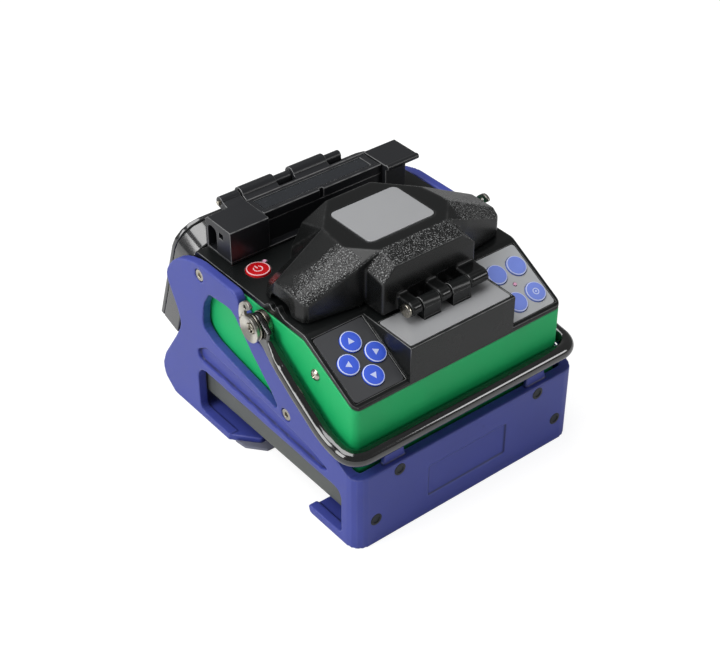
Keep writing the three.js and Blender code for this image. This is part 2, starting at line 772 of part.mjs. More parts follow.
function windCover() {
  const form = coverForm();
  const mouth = alongZ(
    [
      [-25.6, 36.4],
      [25.6, 36.4],
      [27, 47.4],
      [54.6, 52],
      [57.6, 56],
      [57.6, 72],
      [49.5, 86.4],
      [31, 88],
      [29, 94.6],
      [-29, 94.6],
      [-31, 88],
      [-49.5, 86.4],
      [-57.6, 72],
      [-57.6, 56],
      [-54.6, 52],
      [-27, 47.4],
    ],
    COVER_BASE - 1,
    COVER_BASE + 3,
  );
  const notches = SIDES.map(([, side]) => {
    const corners = [
      [28, 20],
      [45, 20],
      [45, 47.3],
      [33.6, 45.3],
      [28, 45.3, 5],
    ].map(([x, y, radius]) => [side * x, y, radius]);
    if (side < 0) corners.reverse();
    return alongZ(corners, COVER_BASE - 1, PLATEAU + 1);
  });
  const fibreSlot = [
    [59.5, COVER_BASE - 1],
    [60.5, 104.9, 4],
    [75.5, 104.9, 4],
    [76.5, COVER_BASE - 1],
  ];
  const slots = SIDES.map(([, side]) => alongX(fibreSlot, ...span(side, 54, 62)));
  let shape = cut(form, coverHollow(form), mouth, ...notches, ...slots);
  const webTop = COVER_AXIS[1] + KNUCKLE_R;
  for (const [x0, x1] of COVER_KNUCKLES) {
    const web = block(x0, x1, COVER_AXIS[0], 35, COVER_AXIS[1] - KNUCKLE_R, webTop);
    shape = join(shape, web, rodX(KNUCKLE_R, x0, x1, COVER_AXIS));
  }
  for (const [x0, x1] of LUGS) {
    const pocket = block(x0 - 0.4, x1 + 0.4, 20, 33.6, COVER_BASE - 1, webTop + 1.6);
    shape = cut(shape, pocket);
  }
  const seat = alongZ(rectangle(-20.4, 20.4, 51.6, 83.4, 3.4), PLATEAU - 0.5, PLATEAU + 1);
  return cut(shape, rodX(COVER_PIN_R + GAP, -25, 30, COVER_AXIS), seat);
}

piece("wind_cover", windCover(), BLACK, frame);
const coverSheet = alongZ(rectangle(-20, 20, 52, 83, 3), PLATEAU - 0.4, PLATEAU + 0.3);
piece("cover_plate", coverSheet, LABEL, frame);
const pinShank = rodX(COVER_PIN_R, -20.5, 25, COVER_AXIS, 16);
const pinHead = rodX(3.4, -21.4, -19.9, COVER_AXIS, 24);
piece("cover_hinge_pin", join(pinShank, pinHead), STEEL, frame);

// Splicing stage in the bay: base, V-groove, electrodes, objectives, fibre clamps, sheath lids
const CLAMP_AXIS = [79, 101.6];
const LID_AXIS = [78.3, 95.2];
const STAGE_PIN_R = 0.9;

function stageBase() {
  const floor = block(-44.5, 44.5, 53.5, 84.5, BAY.floor + GAP, 88);
  const pedestal = block(-12.5, 12.5, 54.2, 82, 87, 92);
  let shape = join(floor, pedestal);
  for (const [, side] of SIDES) {
    const [x0, x1] = span(side, 19, 41);
    const rest = [
      [60, 87],
      [76, 87],
      [76, 93.4],
      [69, 93.4],
      [68, 92.4],
      [67, 93.4],
      [60, 93.4],
    ];
    shape = join(shape, alongX(rest, x0, x1));
    for (const [near, far] of [
      [16.2, 18.7],
      [41.3, 43.8],
    ]) {
      shape = join(shape, alongX(rectangle(75.8, 80.8, 87, 97.6, 1.5), ...span(side, near, far)));
    }
    shape = join(shape, rodX(STAGE_PIN_R, ...span(side, 17, 43), LID_AXIS, BORE_SIDES));
    const post = alongX(rectangle(76.6, 81.4, 87, 103.9, 1.5), ...span(side, 10, 12.4));
    shape = join(shape, post, rodX(STAGE_PIN_R, ...span(side, 6.2, 11), CLAMP_AXIS, BORE_SIDES));
  }
  return shape;
}

function vGrooveBlock() {
  const top = FIBRE[1] - 0.8;
  const section = [
    [61, 92 + GAP],
    [75, 92 + GAP],
    [75, 97],
    [72, top],
    [FIBRE[0] + 1, top],
    [FIBRE[0], top - 1],
    [FIBRE[0] - 1, top],
    [64, top],
    [61, 97],
  ];
  return cut(alongX(section, -9.5, 9.5), block(-2.9, 2.9, 60, 76, 93.4, 110));
}

function electrode(toward) {
  const tip = 0.6; // each tip's distance from the fibre
  const section = [
    [0, 0],
    [0.9, 3.2],
    [0.9, 14],
    [0, 14],
  ];
  const geometry = geometryOf(turned(section, 12)).rotateX((toward * Math.PI) / 2);
  return solid(geometry.translate(0, FIBRE[0] - toward * tip, FIBRE[1]));
}

piece("stage_base", stageBase(), ALUMINIUM, frame);
piece("v_groove_block", vGrooveBlock(), CERAMIC, frame);
for (const [name, toward] of [
  ["front", 1],
  ["rear", -1],
]) {
  piece("electrode_" + name, electrode(toward), STEEL, frame);
  const [y0, y1] = toward > 0 ? [54.6, 59.9] : [76.1, 81.4];
  const holder = alongY(rectangle(-5.4, 5.4, 92 + GAP, 104.6, 1.5), y0, y1);
  piece("electrode_clamp_" + name, cut(holder, rodY(1.2, y0 - 1, y1 + 1, [0, FIBRE[1]], 12)), BLACK, frame);
  const barrel = new THREE.CylinderGeometry(1.7, 2.4, 4.2, BOLT_SIDES);
  barrel.translate(0, -6.3, 0).rotateX(Math.PI / 2 - (toward * Math.PI) / 4);
  piece("objective_" + name, solid(barrel), BLACK, frame).position.set(0, ...FIBRE);
}

for (const [sideName, side] of SIDES) {
  const [x0, x1] = span(side, 6.3, 9.6);
  const arm = [
    [66, FIBRE[1] - 0.6],
    [70, FIBRE[1] - 0.6],
    [70.6, 102.2],
    [78, 102.2],
    [78, 104],
    [67.5, 104.6, 1],
    [66, 103.4],
  ];
  const clamp = join(alongX(arm, x0, x1), rodX(2.2, x0, x1, CLAMP_AXIS, 16));
  const bore = rodX(STAGE_PIN_R + GAP, x0 - 1, x1 + 1, CLAMP_AXIS, 12);
  piece("fibre_clamp_" + sideName, cut(clamp, bore), ALUMINIUM, frame);

  const [lid0, lid1] = span(side, 19.2, 40.8);
  const lidSection = [
    [61.5, 93.8, 0.5],
    [78, 93.8],
    [78.3, 97],
    [63, 97, 1.5],
    [61.5, 95.6],
  ];
  const lid = join(alongX(lidSection, lid0, lid1), rodX(2, lid0, lid1, LID_AXIS, 16));
  const lidBore = rodX(STAGE_PIN_R + GAP, lid0 - 1, lid1 + 1, LID_AXIS, 12);
  piece("sheath_lid_" + sideName, cut(lid, lidBore), ALUMINIUM, frame);
}

// Tube heater at the rear of the deck: base with its trough, heating plate, lid with window and
// end blocks, all on one hinge rod.
const TROUGH = [121.4, 129];
const END_KNUCKLE = [-46.4, -35.6];
const FIXED_KNUCKLES = [
  [-14.4, -4.5],
  [17, 27],
];
const LID_KNUCKLES = [
  [-35, -14.7],
  [-4.2, 16.7],
];
const HEATER_ROD_R = 1.2;
const LID_SEAM = 113;

function heaterBase() {
  const foot = block(-57.8, 52, 110.4, 131, DECK + GAP, 100.9);
  const walls = block(-35, LID_HALF, 114.6, 131, 100, LID_SEAM - GAP);
  const trough = block(-36, LID_HALF + 1, ...TROUGH, 101.6, LID_SEAM + 1);
  let shape = cut(join(foot, walls), trough);
  for (const [x0, x1] of FIXED_KNUCKLES) {
    const bracket = [
      [129.6, 100],
      [133, 101.5],
      [138, 112],
      [137.7, HEATER_AXIS[1]],
      [133.3, HEATER_AXIS[1]],
      [132, 111],
      [129.6, 109],
    ];
    shape = join(shape, alongX(bracket, x0, x1), rodX(2.4, x0, x1, HEATER_AXIS, 16));
  }
  return cut(shape, rodX(HEATER_ROD_R + GAP, -50, 30, HEATER_AXIS, 12));
}

function heaterLid() {
  const [y0, y1] = [114.4, 130.3];
  const slab = block(-35, LID_HALF, y0, y1, LID_SEAM, HEATER_TOP - 0.8);
  const rails = [
    [y0, y0 + 2.2],
    [y1 - 1.6, y1],
  ].map(([a, b]) => alongX(rectangle(a, b, HEATER_TOP - 2, HEATER_TOP, 0.5), -35, LID_HALF));
  const opening = block(-32, 34, 118.2, 127.4, LID_SEAM - 1, HEATER_TOP + 1);
  const latch = block(-1.2, 1.2, y0 - 1, y0 + 1.4, LID_SEAM - 1, HEATER_TOP + 1);
  let shape = cut(join(slab, ...rails), opening, latch);
  for (const [x0, x1] of LID_KNUCKLES) {
    const leaf = [
      [y1 - 1, LID_SEAM + 0.3],
      [HEATER_AXIS[0], HEATER_AXIS[1] - 3.6],
      [HEATER_AXIS[0], HEATER_AXIS[1] + 3.2],
      [y1 - 1, HEATER_TOP],
    ];
    shape = join(shape, alongX(leaf, x0, x1), rodX(4, x0, x1, HEATER_AXIS));
  }
  return cut(shape, rodX(HEATER_ROD_R + GAP, -50, 30, HEATER_AXIS, 12));
}

// The arched opening for the fibre that runs through both end blocks.
const fibreArch = [
  [121.6, 100],
  [129, 100],
  [129, 114.4, 3.2],
  [121.6, 114.4, 3.2],
];

function heaterEndLeft() {
  const section = [
    [109.8, 101.3],
    [131, 101.3],
    [131, 116],
    [129, HEATER_TOP],
    [109.8, HEATER_TOP, 1],
  ];
  const body = alongX(section, -58.3, -35.4);
  const slot = alongX(fibreArch, -60, -34);
  const pocket = block(-60, -55, 116, 119.6, 110.8, 113.8);
  const leaf = [
    [129, 112],
    [HEATER_AXIS[0], HEATER_AXIS[1] - 2.8],
    [HEATER_AXIS[0], HEATER_AXIS[1] + 2.4],
    [129, HEATER_TOP],
  ];
  const knuckle = join(alongX(leaf, ...END_KNUCKLE), rodX(3, ...END_KNUCKLE, HEATER_AXIS));
  const shape = join(cut(body, slot, pocket), knuckle);
  return cut(shape, rodX(HEATER_ROD_R + GAP, -50, 30, HEATER_AXIS, 12));
}

function heaterEndRight() {
  const body = block(LID_HALF + GAP, 51.4, 111.4, 131, 101.3, 116.6);
  const slot = alongX(fibreArch, 37, 60);
  const tab = block(LID_HALF + GAP, 58.8, 110.8, 129.4, 115.8, HEATER_TOP);
  const rim = rodX(1.5, LID_HALF + GAP, 58.8, [110.9, HEATER_TOP - 1.1], 16);
  return join(cut(body, slot), tab, rim);
}

piece("heater_base", heaterBase(), BLACK, frame);
const plateSection = [
  [122, 102],
  [128.4, 102],
  [128.4, 108],
  [127.6, 108],
  [126.6, 103.2],
  [123.8, 103.2],
  [122.8, 108],
  [122, 108],
];
piece("heating_plate", alongX(plateSection, -33, 36), ALUMINIUM, frame);
piece("heater_lid", heaterLid(), BLACK, frame);
piece("heater_window", block(-31.7, 33.7, 118.5, 127.1, 115.4, 117), GLASS, frame);
piece("heater_end_left", heaterEndLeft(), BLACK, frame);
piece("heater_end_right", heaterEndRight(), BLACK, frame);
piece("heater_hinge_rod", rodX(HEATER_ROD_R, -47.6, 27.6, HEATER_AXIS, 12), STEEL, frame);

// Monitor, folded down behind the body: its own frame has its origin on the hinge axis,
// y out through the screen and z up along the panel.
const monitor = new THREE.Group();
monitor.position.set(0, ...MONITOR_AXIS);
monitor.rotation.x = MONITOR_TILT;
frame.add(monitor);

const BEZEL = 2.5; // thickness of the frame round the screen
const WINDOW = { half: 47, low: -56, high: -9.5 };

function monitorSlab(y0, y1) {
  const panel = [
    [-MONITOR_HALF, -MONITOR_BELOW, 1.5],
    [MONITOR_HALF, -MONITOR_BELOW, 1.5],
    [MONITOR_HALF, 8, 14],
    [-MONITOR_HALF, 8, 14],
  ];
  const notches = [-1, 1].map((side) => {
    const [x0, x1] = span(side, MONITOR_LUG[0] - 0.5, MONITOR_LUG[1] + 0.5);
    return block(x0, x1, -9, 9, -6.4, 9);
  });
  return cut(alongY(panel, y0, y1), ...notches);
}

const halfThick = MONITOR_THICK / 2;
const shellFront = halfThick - BEZEL - GAP / 2;
const hingeBore = rodX(1.8, -42, 42, [0, 0], 12);
piece("monitor_shell", cut(monitorSlab(-halfThick, shellFront), hingeBore), GLOSS, monitor);
const screenHole = alongY(rectangle(-WINDOW.half, WINDOW.half, WINDOW.low, WINDOW.high, 1), 0, 10);
piece("monitor_bezel", cut(monitorSlab(halfThick - BEZEL, halfThick), screenHole), GLOSS, monitor);
const { half: screenHalf, low, high } = WINDOW;
const screen = rectangle(-screenHalf + GAP, screenHalf - GAP, low + GAP, high - GAP, 1);
piece("monitor_screen", alongY(screen, halfThick - BEZEL, halfThick - 0.5), GLASS, monitor);
piece("monitor_hinge_rod", rodX(1.5, -41.5, 41.5, [0, 0], 12), STEEL, monitor);

// Carry handle: a bowed tube from pivot to pivot round the front, lying on the cradle's rests
const handle = new THREE.Group();
handle.position.set(0, ...HANDLE_AXIS);
frame.add(handle);

const EYE = [67.7, 70.9]; // the flattened ends on the pivots, in x
const EYE_R = 6.5;

// A path of curves that gives each of them its own number of steps, so bends get more than straights.
class Route extends THREE.Curve {
  constructor(parts) {
    super();
    this.parts = parts;
    this.steps = parts.reduce((sum, [, count]) => sum + count, 0);
  }

  getPoint(t) {
    let step = t * this.steps;
    for (const [curve, count] of this.parts) {
      if (step <= count) return curve.getPoint(step / count);
      step -= count;
    }
    return this.parts.at(-1)[0].getPoint(1);
  }

  getPointAt(t) {
    return this.getPoint(t);
  }

  getTangentAt(t) {
    return this.getTangent(t);
  }
}

// The outer side of a flattened end: it slants in towards the eye, and so passes inside the pivot's
// finger when the handle is raised.
function taper(side) {
  const [near, far] = [EYE[1], 76]; // in x
  const slant = 0.18;
  const radius = EYE_R + 1.5;
  const cone = new THREE.CylinderGeometry(radius + (far - near) / slant, radius, far - near, 20);
  return solid(cone.rotateZ((-side * Math.PI) / 2).translate((side * (near + far)) / 2, 0, 0));
}

function carryHandle() {
  const [pivotY, pivotZ] = HANDLE_AXIS;
  const place = (x, y, z) => new THREE.Vector3(x, y - pivotY, z - pivotZ);
  const bend = 9.5;
  const barY = 3.2;
  const barZ = 54;
  const armTop = [71, 88.3];
  const armMiddle = [44, 69.7];
  const armLow = [28, 59.8];
  const armFront = [barY + bend, 55];
  const parts = [];
  const straight = (a, b) => parts.push([new THREE.LineCurve3(a, b), 1]);
  const curve = (a, b, c, steps) => parts.push([new THREE.QuadraticBezierCurve3(a, b, c), steps]);
  const left = (y, z) => place(-HANDLE_X, y, z);
  const right = (y, z) => place(HANDLE_X, y, z);
  straight(left(...armTop), left(...armMiddle));
  straight(left(...armMiddle), left(...armLow));
  curve(left(...armLow), left(21, 55.6), left(...armFront), 3);
  curve(left(...armFront), left(barY, barZ), place(-HANDLE_X + bend, barY, barZ), 6);
  straight(place(-HANDLE_X + bend, barY, barZ), place(HANDLE_X - bend, barY, barZ));
  curve(place(HANDLE_X - bend, barY, barZ), right(barY, barZ), right(...armFront), 6);
  curve(right(...armFront), right(21, 55.6), right(...armLow), 3);
  straight(right(...armLow), right(...armMiddle));
  straight(right(...armMiddle), right(...armTop));
  const circle = new THREE.Shape(outlineCircle(HANDLE_R, 10));
  const route = new Route(parts);
  let shape = solid(new THREE.ExtrudeGeometry(circle, { steps: route.steps, extrudePath: route }));
  for (const [, side] of SIDES) {
    const [x0, x1] = span(side, ...EYE);
    const eye = rodX(EYE_R, x0, x1, [0, 0], 20);
    const neck = alongX(
      [
        [-3.4, 5.4],
        [-11, 1.2],
        [-9.6, -10.4],
        [1.6, -6.2],
      ],
      x0,
      x1,
    );
    shape = join(shape, eye, neck);
    shape = cut(shape, rodX(EYE_R + 0.7, ...span(side, 60, EYE[0]), [0, 0], 16));
    const shaftBore = rodX(SHAFT_BORE_R, x0 - 1, x1 + 1, [0, 0], BORE_SIDES);
    shape = cut(shape, taper(side), shaftBore);
  }
  return shape;
}

function outlineCircle(radius, sides) {
  return arc(0, 0, radius, 0, 360 - 360 / sides, sides - 1).map(([a, b]) => new THREE.Vector2(a, b));
}

piece("carry_handle", carryHandle(), GLOSS, handle);

// Pivots: a collar between jacket and handle eye, a knob whose shaft carries the eye, and on the
// knob's hexagonal nose a dished cap with a hooked finger.
const KNOB_R = 7.1;
const CAP_X = [72.7, 74.6]; // the cap's back and its rim, in x
const DISH = { rim: 6.5, floor: 3.6, depth: 1.3 };
const capFinger = [
  [0, 0],
  [6.4, -3],
  [8.3, 3.5, 12],
  [6.9, 11.2, 5],
  [1.6, 15.8, 4],
  [-2.7, 12.7, 1],
  [0.6, 10.1, 3],
  [3.3, 9, 0.6],
  [3, 6],
];

for (const [sideName, side] of SIDES) {
  const at = HANDLE_AXIS;
  const collarBore = rodX(SHAFT_BORE_R, ...span(side, 60, 70), at, BORE_SIDES);
  const collar = cut(rodX(6.6, ...span(side, 64.7, 67.4), at, 24), collarBore);
  piece("pivot_collar_" + sideName, collar, STEEL, frame);
  const head = rodX(KNOB_R, ...span(side, 71.2, CAP_X[0] - GAP), at, 24);
  const shaft = rodX(SHAFT_R, ...span(side, 55, 72), at, BORE_SIDES);
  const nose = rodX(2.9, ...span(side, 72, 73.7), at, 6);
  const socket = rodX(1.7, ...span(side, 72.4, 75), at, 6);
  piece("pivot_knob_" + sideName, cut(join(head, shaft, nose), socket), STEEL, frame);

  const [y, z] = at;
  const disc = rodX(KNOB_R, ...span(side, ...CAP_X), at, 24);
  const finger = alongX(
    capFinger.map(([dy, dz, radius]) => [y + dy, z + dz, radius]),
    ...span(side, CAP_X[0], CAP_X[1] - 0.2),
  );
  const dish = new THREE.CylinderGeometry(DISH.rim, DISH.floor, DISH.depth, 24);
  dish.rotateZ((-side * Math.PI) / 2).translate(side * (CAP_X[1] + 0.01 - DISH.depth / 2), y, z);
  const hole = rodX(1.15, ...span(side, 72, 76), [y + 2.4, z + 11.3], BORE_SIDES);
  const noseBore = rodX(3.25, ...span(side, 72, 76), at, 6);
  piece("pivot_plate_" + sideName, cut(join(disc, finger), solid(dish), noseBore, hole), STEEL, frame);
}

// The whole part stands on z = 0 with the middle of its base at the origin.
splicer.updateMatrixWorld(true);
const bounds = new THREE.Box3().setFromObject(splicer, true);
const centre = bounds.getCenter(new THREE.Vector3());
frame.position.set(-centre.x, -centre.y, -bounds.min.z);

export default splicer;
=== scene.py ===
# %% [markdown]
# A fusion splicer for optical fibre, folded for carrying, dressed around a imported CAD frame.
# The frame gives every piece at its real size and place, but with flat facets and sharp edges.
# This lesson gives each piece the rounded edges, small parts and finish that the real one has,
# and then lights and films it as in a product photograph.

# %% Load the frame
import json
import math

import bmesh
import bpy
from mathutils import Matrix, Vector
from mathutils.bvhtree import BVHTree

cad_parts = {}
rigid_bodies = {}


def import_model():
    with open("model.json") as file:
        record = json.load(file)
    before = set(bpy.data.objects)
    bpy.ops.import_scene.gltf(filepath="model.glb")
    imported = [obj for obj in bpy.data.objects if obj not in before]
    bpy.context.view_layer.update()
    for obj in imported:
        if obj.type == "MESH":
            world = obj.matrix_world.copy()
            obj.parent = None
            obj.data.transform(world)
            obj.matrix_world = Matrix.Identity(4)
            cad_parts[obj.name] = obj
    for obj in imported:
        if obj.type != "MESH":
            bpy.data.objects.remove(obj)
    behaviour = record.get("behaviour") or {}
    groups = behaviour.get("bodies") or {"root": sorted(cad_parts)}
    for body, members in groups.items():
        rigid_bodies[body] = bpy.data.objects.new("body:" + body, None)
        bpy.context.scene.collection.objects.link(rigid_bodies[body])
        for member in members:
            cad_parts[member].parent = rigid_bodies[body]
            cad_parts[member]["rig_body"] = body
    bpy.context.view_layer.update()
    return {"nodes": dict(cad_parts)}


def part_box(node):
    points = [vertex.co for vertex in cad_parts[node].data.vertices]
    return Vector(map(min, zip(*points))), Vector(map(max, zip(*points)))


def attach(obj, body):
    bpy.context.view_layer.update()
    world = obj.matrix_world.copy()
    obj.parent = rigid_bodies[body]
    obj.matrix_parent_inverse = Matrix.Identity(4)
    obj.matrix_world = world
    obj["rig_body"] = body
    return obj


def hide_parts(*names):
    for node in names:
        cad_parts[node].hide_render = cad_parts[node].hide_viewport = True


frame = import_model()
nodes = frame["nodes"]

# %% [markdown]
# All sizes below are in millimetres, measured from the middle of the cradle's front bottom edge.
# That is how the real splicer would be drawn, so one helper turns such a place into the frame's
# metres. A pair of numbers is a depth and a height, as in a side view. The two keypads lie on a
# slope, which gets a frame of its own.

# %% Places
MM = 0.001
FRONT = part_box("cradle")[0].y
DECK = 99.3
SLOPE_FRONT = (8.1, 79.2)
SLOPE_END = (44.6, DECK)
HANDLE_PIVOT = (74, 90.4)
COVER_HINGE = (25.2, 104.3)


def place(x, y, z):
    """A point given in millimetres from the cradle's front bottom edge."""
    return Vector((x * MM, FRONT + y * MM, z * MM))


SLOPE_ANGLE = math.atan2(SLOPE_END[1] - SLOPE_FRONT[1], SLOPE_END[0] - SLOPE_FRONT[0])
slope = Matrix.Translation(place(0, *SLOPE_FRONT)) @ Matrix.Rotation(SLOPE_ANGLE, 4, "X")
print("keypad slope", round(math.degrees(SLOPE_ANGLE), 1), "degrees")

# %% [markdown]
# Finishes. Every surface gets its look from nodes, with no pictures. What several finishes share
# is a node group: a fine grain for moulded plastic, a pebble texture, wear on edges, and the lines
# that a lathe leaves. A group only puts out values, and each material keeps its own shader.


# %% Node group tools
def new_group(title, inputs, outputs):
    tree = bpy.data.node_groups.new(title, "ShaderNodeTree")
    for name, value in inputs:
        socket = tree.interface.new_socket(name, in_out="INPUT", socket_type="NodeSocketFloat")
        socket.default_value = value
    for name in outputs:
        tree.interface.new_socket(name, in_out="OUTPUT", socket_type="NodeSocketFloat")
    return tree, tree.nodes.new("NodeGroupInput"), tree.nodes.new("NodeGroupOutput")


def add(tree, kind, settings=(), **links):
    """A new node with its settings made. Links name an input and give a value or an output."""
    node = tree.nodes.new(kind)
    for name, value in dict(settings).items():
        setattr(node, name, value)
    for name, value in links.items():
        key = int(name[1:]) if name[0] == "i" and name[1:].isdigit() else name.replace("_", " ")
        if isinstance(value, bpy.types.NodeSocket):
            tree.links.new(value, node.inputs[key])
        else:
            node.inputs[key].default_value = value
    return node


def maths(tree, operation, first, second=0.0):
    return add(tree, "ShaderNodeMath", {"operation": operation}, i0=first, i1=second).outputs[0]


def ramp(tree, value, low, high, start=0.0, end=1.0):
    """Value mapped from low..high to start..end and held there."""
    node = add(tree, "ShaderNodeMapRange", {"clamp": True}, Value=value)
    for name, number in (("From Min", low), ("From Max", high), ("To Min", start), ("To Max", end)):
        node.inputs[name].default_value = number
    return node.outputs["Result"]


# %% [markdown]
# Moulded plastic takes a fine grain from its mould, and its tone drifts a little from end to end. A
# picture of the grain would need unwrapping, so a fine noise gives the height and a wide one the tone.

# %% Fine grain
CLOUDS_PER_METRE = 35.0
grain, goes_in, goes_out = new_group("Moulded grain", [("Grain mm", 0.4)], ["Height", "Tone"])
where = add(grain, "ShaderNodeTexCoord").outputs["Object"]
per_metre = maths(grain, "DIVIDE", 1 / MM, goes_in.outputs["Grain mm"])
fine = add(grain, "ShaderNodeTexNoise", Vector=where, Scale=per_metre, Detail=3.0)
wide = add(grain, "ShaderNodeTexNoise", Vector=where, Scale=CLOUDS_PER_METRE, Detail=4.0)
grain.links.new(fine.outputs[0], goes_out.inputs["Height"])
grain.links.new(ramp(grain, wide.outputs[0], 0.3, 0.7), goes_out.inputs["Tone"])
print("group", grain.name)

# %% [markdown]
# The cover's shoulders have a coarse pebble texture. Soft Voronoi cells make the pebbles, and a noise
# of the same size picks the few that get a painted highlight, a glint painted into the base colour.

# %% Pebble texture
pebble, goes_in, goes_out = new_group("Pebble texture", [("Pebble mm", 0.8)], ["Height", "Painted glint"])
where = add(pebble, "ShaderNodeTexCoord").outputs["Object"]
per_metre = maths(pebble, "DIVIDE", 1 / MM, goes_in.outputs["Pebble mm"])
stones = add(pebble, "ShaderNodeTexVoronoi", {"feature": "SMOOTH_F1"}, Vector=where, Scale=per_metre)
domes = ramp(pebble, stones.outputs["Distance"], 0.0, 0.75, 1.0, 0.0)
flecks = add(pebble, "ShaderNodeTexNoise", Vector=where, Scale=per_metre, Detail=2.0)
pebble.links.new(domes, goes_out.inputs["Height"])
# Painted highlight: the flecks that glint are given a brighter base colour.
pebble.links.new(ramp(pebble, flecks.outputs[0], 0.55, 0.66), goes_out.inputs["Painted glint"])
print("group", pebble.name)

# %% [markdown]
# The edges are made pale, part wear from handling and part painted highlight, and the hollows are made
# dark with painted shade. Both are marks that the dressing tool further down leaves on each piece's
# points, and a noise breaks the edge mark into patches.

# %% Worn edges, painted highlight and painted shade
PATCHES_PER_METRE = 160.0
PAINTED_SHADE_STRENGTH = 0.7
wear_and_light, goes_in, goes_out = new_group("Edge wear and painted light", [("Amount", 0.5)], ["Mask", "Painted shade"])
shape = add(wear_and_light, "ShaderNodeAttribute", {"attribute_name": "edge"}).outputs["Fac"]
painted_shade = add(wear_and_light, "ShaderNodeAttribute", {"attribute_name": "painted_shade"}).outputs["Fac"]
where = add(wear_and_light, "ShaderNodeTexCoord").outputs["Object"]
patchy = add(wear_and_light, "ShaderNodeTexNoise", Vector=where, Scale=PATCHES_PER_METRE, Detail=5.0)
broken = maths(wear_and_light, "MULTIPLY", shape, ramp(wear_and_light, patchy.outputs[0], 0.35, 0.6, 0.3, 1.0))
wear_and_light.links.new(maths(wear_and_light, "MULTIPLY", broken, goes_in.outputs["Amount"]), goes_out.inputs["Mask"])
# Painted shade: the hollow mark darkens corners and steps.
wear_and_light.links.new(maths(wear_and_light, "MULTIPLY", painted_shade, PAINTED_SHADE_STRENGTH), goes_out.inputs["Painted shade"])
print("group", wear_and_light.name)

# %% [markdown]
# A lathe leaves rings round the axis, and polished rings reflect a lamp as a fan of bright sectors,
# which is painted into the colour as a painted reflection. The distance from the handle's pivot gives
# the rings, and the angle round it gives the painted fan.

# %% Lathe lines
FAN_SECTORS = 2.0
FAN_TURN = 0.6
turned, goes_in, goes_out = new_group("Turned metal", [("Line mm", 0.15)], ["Height", "Tone", "Painted fan"])
where = add(turned, "ShaderNodeTexCoord").outputs["Object"]
axes = add(turned, "ShaderNodeSeparateXYZ", Vector=where)
from_axis_y = maths(turned, "SUBTRACT", axes.outputs["Y"], FRONT + HANDLE_PIVOT[0] * MM)
from_axis_z = maths(turned, "SUBTRACT", axes.outputs["Z"], HANDLE_PIVOT[1] * MM)
square_y = maths(turned, "POWER", from_axis_y, 2.0)
square_z = maths(turned, "POWER", from_axis_z, 2.0)
radius = maths(turned, "SQRT", maths(turned, "ADD", square_y, square_z))
ring = add(turned, "ShaderNodeCombineXYZ", X=axes.outputs["X"], Y=radius)
per_metre = maths(turned, "DIVIDE", 1 / MM, goes_in.outputs["Line mm"])
lines = add(turned, "ShaderNodeTexNoise", Vector=ring.outputs[0], Scale=per_metre, Detail=2.0)
turned.links.new(lines.outputs[0], goes_out.inputs["Height"])
turned.links.new(ramp(turned, lines.outputs[0], 0.35, 0.65), goes_out.inputs["Tone"])
# Painted reflection: bright and dark sectors round the pivot.
angle = maths(turned, "ARCTAN2", from_axis_z, from_axis_y)
turns = maths(turned, "MULTIPLY", angle, FAN_SECTORS)
waves = maths(turned, "SINE", maths(turned, "ADD", turns, FAN_TURN))
turned.links.new(ramp(turned, waves, -0.5, 0.8), goes_out.inputs["Painted fan"])
print("group", turned.name)

# %% [markdown]
# A finish is one material: a base colour that drifts a little, a roughness that varies with it, and a
# bump from the grain. The helper below makes the common one, and special surfaces are made one by one.


# %% Common finish
def colour(red, green, blue):
    """A colour as it is read on a screen, 0 to 255, as the linear values that Blender mixes."""
    return tuple(
        (c / 255 / 12.92 if c / 255 <= 0.04045 else ((c / 255 + 0.055) / 1.055) ** 2.4)
        for c in (red, green, blue)
    ) + (1.0,)


def scaled(base, factor):
    return tuple(min(1.0, c * factor) for c in base[:3]) + (1.0,)


def new_material(title):
    material = bpy.data.materials.new(title)
    material.use_nodes = True
    tree = material.node_tree
    return material, tree, tree.nodes["Principled BSDF"]


def use(tree, group, **values):
    node = tree.nodes.new("ShaderNodeGroup")
    node.node_tree = group
    for name, value in values.items():
        node.inputs[name.replace("_", " ")].default_value = value
    return node.outputs


def mix(tree, factor, first, second):
    node = tree.nodes.new("ShaderNodeMix")
    node.data_type = "RGBA"
    for key, value in ((0, factor), (6, first), (7, second)):
        if isinstance(value, bpy.types.NodeSocket):
            tree.links.new(value, node.inputs[key])
        else:
            node.inputs[key].default_value = value
    return node.outputs[2]


def bump(tree, shader, height, strength, distance_mm):
    node = add(tree, "ShaderNodeBump", Strength=strength, Distance=distance_mm * MM, Height=height)
    tree.links.new(node.outputs[0], shader.inputs["Normal"])


WORN_AND_LIT_PALER = 0.16
PAINTED_SHADE_DARKER = 0.12
ROUGH_SPREAD = 0.08
COAT_ROUGH = 0.08
GRAIN_DEPTH_MM = 0.05


